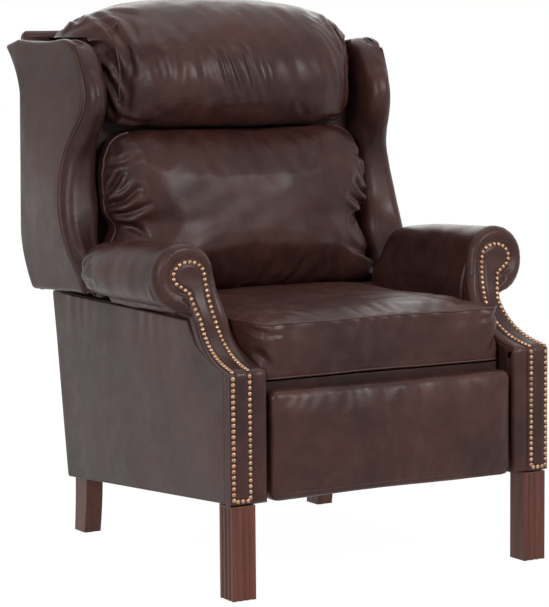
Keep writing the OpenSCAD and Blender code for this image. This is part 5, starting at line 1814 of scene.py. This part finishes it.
@dataclass(frozen=True)
class WingLines:
    """Edge lines of the back and its wings."""

    wing_x: float = 0.375
    back_y: float = 0.843
    back_low: float = 0.505
    back_top: float = 1.018
    horn: float = 0.066
    skin: float = 0.014
    nose_w: float = 0.048
    nose_top: float = 0.978
    lining_front: float = 0.6508
    board_x: float = 0.33
    board_rear: float = 0.828
    nose_y: float = 0.592
    front_rows: tuple[tuple[float, float], ...] = (
        (0.49, 0.5125), (0.54, 0.5135), (0.575, 0.529), (0.61, 0.552), (0.66, 0.577), (0.70, 0.589), (0.74, 0.5955),
        (0.78, 0.593), (0.82, 0.579), (0.86, 0.560), (0.89, 0.548), (0.92, 0.544), (0.95, 0.551), (0.975, 0.567),
        (1.0, 0.588), (1.03, 0.60))

    def back_line(self, z: Array) -> Array:
        """Depth of the outside of the back at a height."""
        rise = np.clip((z - lerp(self.back_low, self.back_top, 0.78)) / ((self.back_top - self.back_low) * 0.22), 0, 1)
        return self.back_y - 0.005 + 0.005 * np.clip(2 - (z - self.back_low) / 0.13, 0, 1) + self.horn * rise**1.6

    def rear_edge(self, z: Array) -> Array:
        """Depth of a wing's rear edge at a height."""
        return self.back_line(z) - 0.055 * np.clip(1 - (z - self.back_low) / 0.12, 0, 1) ** 1.6

    def front_edge(self, z: Array) -> Array:
        """Depth of a wing's front edge at a height."""
        rows = np.array(self.front_rows)
        return np.interp(z, *open_spline(rows, 200).T)

    def nose_x(self, z: Array) -> Array:
        """How far out a wing's nose stands at a height."""
        return self.wing_x + 0.02 * np.cos(2 * np.pi * (z - 0.65) / 0.56)

    def low(self, y: Array) -> Array:
        """A wing's lower edge at a depth."""
        return lerp(0.519, 0.506, np.clip((y - self.nose_y) / 0.251, 0, 1))

    def high(self, y: Array) -> Array:
        """A wing's upper edge at a depth."""
        front = float(self.front_edge(self.nose_top))
        fall = np.clip(1 - (y - front) / 0.085, 0, 1) ** 2
        dip = np.sin(np.pi * np.clip((y - front - 0.085) / (self.back_y - front - 0.085), 0, 1))
        return self.back_top - 0.044 * fall - 0.005 * dip - 0.013 * np.clip((y - self.back_y) / self.horn, 0, 1)

    def z_at(self, y: Array, v: float) -> Array:
        """Height at a share of the wing's own height."""
        return lerp(self.low(y), self.high(y), v)

    def outer_x(self, y: Array, z: Array) -> Array:
        """A wing's outer surface."""
        front = self.front_edge(z)
        return lerp(self.nose_x(z), self.wing_x, np.clip((y - front) / (self.back_y - front), 0, 1))


WINGS = WingLines()


@dataclass
class Wing:
    """One wing: the padded inner face and nose, the outer covering and the double welt between them."""

    side: Side
    levels: int = 96
    seam_back: float = 0.026
    inner_x: float = 0.304
    pass_x: float = 0.3295
    low_x: float = 0.347
    spine_x: float = 0.345
    welt_r: float = 0.0026
    folds: tuple[tuple, ...] = (
        (((0.392, 0.558, 0.602), (0.380, 0.535, 0.582), (0.364, 0.520, 0.560)), 0.003, 0.006),
        (((0.352, 0.565, 0.975), (0.342, 0.585, 0.995), (0.33, 0.63, 1.012)), 0.0018, 0.01),
    )

    def ring(self, v: float, inward: float | None = None) -> Array:
        """A level of the pad at a share of its height.

        Args:
            v: the share, from its lower edge to its top.
            inward: how far round the top's edge the level lies, from 0 to 1, if it is part of it.

        Returns:
            Points round the pad, drawn for the left side.
        """
        w = WINGS
        angle = (inward or 0.0) * math.pi / 2
        v = v + (1 - v) * math.sin(angle)
        zf = float(w.z_at(w.nose_y, v))
        yf, xn, r = float(w.front_edge(zf)), float(w.nose_x(zf)), w.nose_w / 2
        full = float(ease((v - 0.115) / 0.03))
        y0 = yf + self.seam_back
        y1 = min(w.board_rear, float(w.rear_edge(w.z_at(w.board_rear, v))) - 0.015)
        xi, ro = self.inner_x, r
        ri = min(0.034, (xn - xi) - ro)
        ys = lerp(y0, y1, np.linspace(0, 1, 13))
        outer = np.column_stack([w.outer_x(ys, w.z_at(ys, v)) - w.skin - 0.002, ys])[::-1]
        turn = np.radians(np.linspace(95, 4, 15))
        nose = np.column_stack([xn - ro + ro * np.sin(turn), yf + r * (1 - np.cos(turn))])
        recess = 0.07 * (1 - float(ease((zf - 0.60) / 0.09)))
        turn = np.radians(np.linspace(0, 86, 12))
        yb = yf + 0.002 + 0.35 * recess
        corner = np.column_stack([xi + ri - ri * np.sin(turn), yb + (1.35 * ri + 0.65 * recess) * (1 - np.cos(turn))])
        bridge = lerp(nose[-1], corner[0], np.linspace(0, 1, 5)[1:-1, None])
        face = max(w.lining_front, corner[-1, 1] + 0.006)
        far = [(self.low_x, lerp(corner[-1, 1], y1, t)) for t in (0.06, 0.4, 0.7, 1)]
        pad = [(xi, face), (xi, max(0.688, face + 0.003)), (w.board_x, max(0.698, face + 0.006)), (w.board_x, y1)]
        rest = [tuple(corner[-1]), *(tuple(lerp(np.array(p), np.array(q), full)) for p, q in zip(far, pad))]
        ring = np.vstack([outer, nose, bridge, corner, stepped(rest, 9)])
        clear = (w.z_at(ring[:, 1], v) - (CLEAR_Z + CLEAR_MARGIN)) / CLEAR_SLOPE - ROW_SHIFT
        ring[:, 1] = np.where(ring[:, 0] < self.pass_x, np.minimum(ring[:, 1], clear), ring[:, 1])
        bends = [((xn + xi) / 2, yf + 0.026), (self.spine_x, yf + 0.07), (self.spine_x, y1 - 0.012)]
        spine = even_line(np.array(bends), 0.003)
        near = spine[np.linalg.norm(ring[:, None] - spine[None], axis=2).argmin(1)]
        if inward is None:
            return np.column_stack([ring, w.z_at(ring[:, 1], v)])
        soft = np.interp(np.arange(len(ring)), [0, 12, 20, 27, len(ring)], [0.2, 0.2, 0.7, 1, 1])
        ring = lerp(near, ring, (1 - soft * (1 - max(math.cos(angle), 0.12)))[:, None])
        return np.column_stack([ring, w.z_at(ring[:, 1], v)])

    def build_pad(self, name: str) -> bpy.types.Object:
        """Lofts the pad, evens its skin and presses its folds.

        Args:
            name: the piece's name.

        Returns:
            The pad.
        """
        crest = [self.ring(0.95, float(t)) for t in np.linspace(0, 1, 14)[1:]]
        rings = np.array([*(self.ring(float(v)) for v in np.linspace(0.008, 0.95, self.levels)), *crest])
        rings[..., 0] *= self.side.value
        obj = Workbench.loft(name, rings)
        Workbench.remould(obj, 0.004, 4)
        Workbench.refine(obj)
        k = self.side.value
        co = Workbench.points(obj)
        press(obj, mirrored(self.folds, (k,)), 0.0009 * wander(co, 51 + k, 24) + 0.0003 * wander(co, 55 + k, 80))
        return obj

    def build_cover(self, name: str) -> bpy.types.Object:
        """Moulds the outer covering, its edges turned in.

        Args:
            name: the piece's name.

        Returns:
            The covering.
        """
        k, w = self.side.value, WINGS

        def place(u: Array, v: Array) -> Array:
            """Places on the covering's outer face."""
            front = w.front_edge(w.z_at(np.full(len(v), w.nose_y), v)) + self.seam_back
            rear = w.rear_edge(w.z_at(np.full(len(v), w.back_y), v))
            y = lerp(front, rear, u)
            z = w.z_at(y, v)
            return np.column_stack([k * w.outer_x(y, z), y, z])

        def outward(u: Array, v: Array) -> Array:
            """The way out of the wing's side."""
            lean = 0.08 * (1 - u)
            return np.column_stack([np.full(len(u), k * 0.9968), lean, np.zeros(len(u))])

        panel = PaddedPanel(
            place, outward, 0.235, 0.49, depth=0.0138, edge=0.0075, crown=0.0025, unevenness=0.0009, columns=60,
            rows=110, seed=61 + k)
        return panel.build(name)

    def build_welt(self, name: str) -> bpy.types.Object:
        """Two thin pipings side by side along the nose's outer edge.

        Args:
            name: the piece's name.

        Returns:
            The double welt.
        """
        w = WINGS
        v = np.linspace(0.004, 0.984, 160)
        zf = w.z_at(np.full(len(v), w.nose_y), v)
        front = w.front_edge(zf)
        lines = []
        for back, out in ((self.seam_back - 0.0042, 0.0), (self.seam_back + 0.0012, 0.0012)):
            y = front + back
            z = w.z_at(y, v)
            r = w.nose_w / 2
            t = np.clip((y - front) / r, 0, 1)
            bulge = np.where(y < front + r, (1 - np.sqrt(np.maximum(1 - (1 - t) ** 2, 0))) * r, 0)
            lines.append((np.column_stack([self.side.value * (w.nose_x(zf) + 0.0004 + out - bulge), y, z]), False))
        return Workbench.piping(name, lines, self.welt_r)

    def make(self, shop: Workshop) -> None:
        """Builds and hands over the wing."""
        w = self.side.word
        shop.hand_over(self.build_pad(f"wing_{w}_pad"), Body.BACK, stands_for=[f"wing_{w}"])
        shop.hand_over(self.build_cover(f"wing_{w}_cover"), Body.BACK, stands_for=[f"outside_wing_{w}"])
        shop.hand_over(self.build_welt(f"wing_{w}_welt"), Body.BACK)


@dataclass
class BackCovers:
    """The outside of the back, the roll along its top and the lining behind the cushions."""

    roll_r: float = 0.016
    roll_z: float = 1.004
    roll_x: float = 0.333
    half_x: float = 0.3588
    piping_x: float = 0.3602
    piping_r: float = 0.0028
    lining_y: float = 0.651
    lining_top: float = 0.9903
    lid_z: float = 0.9944
    notch: float = 0.3275
    wide: float = 0.3035
    narrow: float = 0.2675

    def outside(self) -> bpy.types.Object:
        """The stretched cover of the chair's back."""
        w = WINGS

        def place(u: Array, v: Array) -> Array:
            """Places on the back's outer face."""
            z = lerp(w.back_low + 0.002, w.back_top - w.skin, v)
            x = lerp(-self.half_x, self.half_x, u)
            return np.column_stack([x, lerp(w.back_line(z), w.rear_edge(z), ease((np.abs(x) - 0.24) / 0.115)), z])

        def outward(u: Array, v: Array) -> Array:
            """The way out of the back."""
            z = lerp(w.back_low + 0.002, w.back_top - w.skin, v)
            slope = (w.back_line(z + 1e-4) - w.back_line(z - 1e-4)) / 2e-4
            n = np.column_stack([np.zeros(len(u)), np.ones(len(u)), -slope])
            return n / np.linalg.norm(n, axis=1)[:, None]

        panel = PaddedPanel(
            place, outward, 0.717, 0.52, depth=0.0136, edge=0.005, crown=0.003, unevenness=0.0012, columns=90,
            rows=80, seed=71)
        return panel.build("outside_back_leather")

    def corner_piping(self) -> bpy.types.Object:
        """Piping where the back's cover meets each wing's covering."""
        w = WINGS
        z = np.linspace(w.back_low + 0.006, w.back_top - w.skin, 90)
        lines = both_sides(np.full(len(z), self.piping_x), w.rear_edge(z) + 0.0008, z)
        return Workbench.piping("back_corner_piping", lines, self.piping_r)

    def top_roll(self) -> bpy.types.Object:
        """The soft roll from wing to wing along the back's top."""
        y = float(WINGS.back_line(np.array([self.roll_z]))[0]) - WINGS.skin / 2
        turn = np.radians(np.linspace(0, 360, 49)[:-1])
        end = np.array([0.3385, 0.3415, 0.3424])
        rings = []
        for x in np.concatenate([-end[::-1], np.linspace(-self.roll_x, self.roll_x, 130), end]):
            r = self.roll_r * (1 - 0.45 * max(0, (abs(x) - self.roll_x) / 0.0094) ** 2)
            r = r + 0.0007 * np.sin(turn * 13 + 2) * float(ease((abs(x) - 0.27) / 0.06)) * (abs(x) < 0.34)
            z = self.roll_z + self.roll_r + r * np.sin(turn)
            rings.append(np.column_stack([np.full(len(turn), x), y + r * np.cos(turn), z]))
        obj = Workbench.loft("back_top_roll_leather", np.array(rings))
        press(obj, [], 0.0006 * wander(Workbench.points(obj), 81, 60))
        return obj

    def lining(self) -> bpy.types.Object:
        """The leather behind the cushions and over the back's top."""

        def face(low: float, high: float, half: float, name: str) -> bpy.types.Object:
            """One upright part of the lining."""
            place, size = upright(half, self.lining_y, low, high), (2 * half, high - low)
            panel = PaddedPanel(place, facing(0.0, -1.0, 0.0), *size, depth=0.0056, edge=0.002, columns=30, rows=24)
            return panel.build(name)

        def top(u: Array, v: Array) -> Array:
            """Places on the lid over the back's top."""
            y = lerp(self.lining_y, float(WINGS.back_line(np.array([self.lining_top]))[0]) - 0.0145, v)
            half = np.where(y < 0.699, self.wide, np.where(y < 0.8285, self.notch, self.half_x))
            return np.column_stack([lerp(-half, half, u), y, np.full(len(u), self.lid_z)])

        lid = PaddedPanel(top, facing(0.0, 0.0, 1.0), 0.62, 0.22, depth=0.004, edge=0.0015, columns=40, rows=40)
        faces = [face(0.547, self.lining_top, self.wide, "high"), face(0.47, 0.5468, self.narrow, "low")]
        return Workbench.join("inside_back_leather", [*faces, lid.build("lid")])

    def make(self, shop: Workshop) -> None:
        """Builds and hands over the back's covers."""
        shop.hand_over(self.outside(), Body.BACK, stands_for=["outside_back"])
        shop.hand_over(self.corner_piping(), Body.BACK)
        shop.hand_over(self.top_roll(), Body.BACK, stands_for=["back_top_roll"])
        # The lining's darker leather is painted shade behind the cushions.
        shop.hand_over(self.lining(), Body.BACK, Slot.lining_leather, ["inside_back"])


# ---- Studio


@dataclass
class Studio:
    """Floor, light and camera."""

    eye: tuple[float, float, float] = (-2.439, -4.204, 1.008)
    azimuth: float = 30.80
    pitch: float = 6.18
    roll: float = -0.42
    focal_pixels: float = 2426.0
    centre_pixels: tuple[float, float] = (302.0, 305.0)
    frame_pixels: tuple[float, float] = (549.0, 607.0)
    sky: float = 0.3
    floor_tone: float = 0.9
    floor_glow: float = 1.09
    floor_seen: float = 0.9
    aim: tuple[float, float, float] = (0, -0.1, 0.55)
    lamps: tuple[tuple[str, tuple[float, float, float], float, float], ...] = (
        ("front_softbox", (1.2, -3.6, 2.5), 1.0, 84.0),
        ("side_softbox", (-3.2, -2.6, 1.9), 1.1, 66.0),
        ("top_softbox", (0.3, 0.2, 3.4), 2.0, 16.0),
        ("rear_fill", (1.6, 3.2, 2.0), 2.2, 26.0),
    )

    def _seen_share(self, sheet: bpy.types.NodeTree) -> bpy.types.NodeSocket:
        """1 for rays that show the background: the camera's, and those of gloss and glass."""
        path = sheet.nodes.new("ShaderNodeLightPath")
        share = path.outputs["Is Camera Ray"]
        for ray in ("Is Glossy Ray", "Is Transmission Ray"):
            most = sheet.nodes.new("ShaderNodeMath")
            most.operation = "MAXIMUM"
            sheet.links.new(share, most.inputs[0])
            sheet.links.new(path.outputs[ray], most.inputs[1])
            share = most.outputs[0]
        return share

    def light(self) -> None:
        """Sets the world and the lamps."""
        world = bpy.data.worlds.new("studio")
        bpy.context.scene.world = world
        world.use_nodes = True
        tree = world.node_tree
        back = tree.nodes["Background"]
        back.inputs["Color"].default_value = (1, 1, 1, 1)
        strength = tree.nodes.new("ShaderNodeMapRange")
        tree.links.new(self._seen_share(tree), strength.inputs["Value"])
        strength.inputs["To Min"].default_value = self.sky
        strength.inputs["To Max"].default_value = 1.0
        tree.links.new(strength.outputs["Result"], back.inputs["Strength"])
        for name, at, size, power in self.lamps:
            data = bpy.data.lights.new(name, "AREA")
            data.energy, data.size = power, size
            lamp = bpy.data.objects.new(name, data)
            lamp.location = at
            lamp.rotation_euler = (Vector(self.aim) - Vector(at)).to_track_quat("-Z", "Y").to_euler()
            bpy.context.scene.collection.objects.link(lamp)

    def floor(self) -> None:
        """Lays the pale floor, which keeps the chair's soft shadow."""
        bpy.ops.object.select_all(action="DESELECT")
        bpy.ops.mesh.primitive_plane_add(size=60)
        floor = bpy.context.active_object
        floor.name = "floor"
        material = bpy.data.materials.new("pale_floor")
        material.use_nodes = True
        tree = material.node_tree
        matt = tree.nodes["Principled BSDF"]
        matt.inputs["Base Color"].default_value = (*(self.floor_tone,) * 3, 1)
        matt.inputs["Roughness"].default_value = 0.9
        matt.inputs["Specular IOR Level"].default_value = 0.0
        glow = tree.nodes.new("ShaderNodeEmission")
        glow.inputs["Strength"].default_value = self.floor_glow
        share = tree.nodes.new("ShaderNodeMath")
        share.operation = "MULTIPLY"
        tree.links.new(self._seen_share(tree), share.inputs[0])
        share.inputs[1].default_value = self.floor_seen
        mix = tree.nodes.new("ShaderNodeMixShader")
        tree.links.new(share.outputs[0], mix.inputs[0])
        tree.links.new(matt.outputs[0], mix.inputs[1])
        tree.links.new(glow.outputs[0], mix.inputs[2])
        tree.links.new(mix.outputs[0], tree.nodes["Material Output"].inputs["Surface"])
        floor.data.materials.append(material)

    def camera(self) -> None:
        """Puts the camera at the photograph's viewing angle."""
        az, pitch, roll = (math.radians(a) for a in (self.azimuth, self.pitch, self.roll))
        ahead = Vector((math.sin(az) * math.cos(pitch), math.cos(az) * math.cos(pitch), -math.sin(pitch)))
        right = Vector((math.cos(az), -math.sin(az), 0))
        up = right.cross(ahead)
        across = right * math.cos(roll) + up * math.sin(roll)
        upward = -right * math.sin(roll) + up * math.cos(roll)
        data = bpy.data.cameras.new("photo_view")
        data.sensor_width = 36
        long_side = max(self.frame_pixels)
        data.lens = self.focal_pixels / long_side * data.sensor_width
        data.shift_x = (self.frame_pixels[0] / 2 - self.centre_pixels[0]) / long_side
        data.shift_y = (self.centre_pixels[1] - self.frame_pixels[1] / 2) / long_side
        data.clip_start, data.clip_end = 0.1, 200
        cam = bpy.data.objects.new("photo_view", data)
        cam.matrix_world = Matrix((
            (across.x, upward.x, -ahead.x, self.eye[0]), (across.y, upward.y, -ahead.y, self.eye[1]),
            (across.z, upward.z, -ahead.z, self.eye[2]), (0, 0, 0, 1)))
        bpy.context.scene.collection.objects.link(cam)
        bpy.context.scene.camera = cam

    def make(self) -> None:
        """Sets up the whole studio."""
        bpy.context.scene.view_settings.view_transform = "Standard"
        self.camera()
        self.floor()
        self.light()


def main() -> None:
    """Builds the chair's looks on its frame, sub-assembly by sub-assembly."""
    logging.basicConfig(level=logging.INFO, format="%(name)s: %(message)s")
    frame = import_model()
    finishes = Finishes()
    finishes.dress_frame(frame)
    shop = Workshop(finishes)
    Studio().make()
    for side in Side:
        ArmFront(side).make(shop)
        ArmRoll(side).make(shop)
        Wing(side).make(shop)
    for part in (BaseCovers(), SeatCushion(), FootrestPad(), LumbarCushion(), HeadPillow(), BackCovers()):
        part.make(shop)
    LOG.info("%d pieces made", shop.count)


if __name__ == "__main__":
    main()
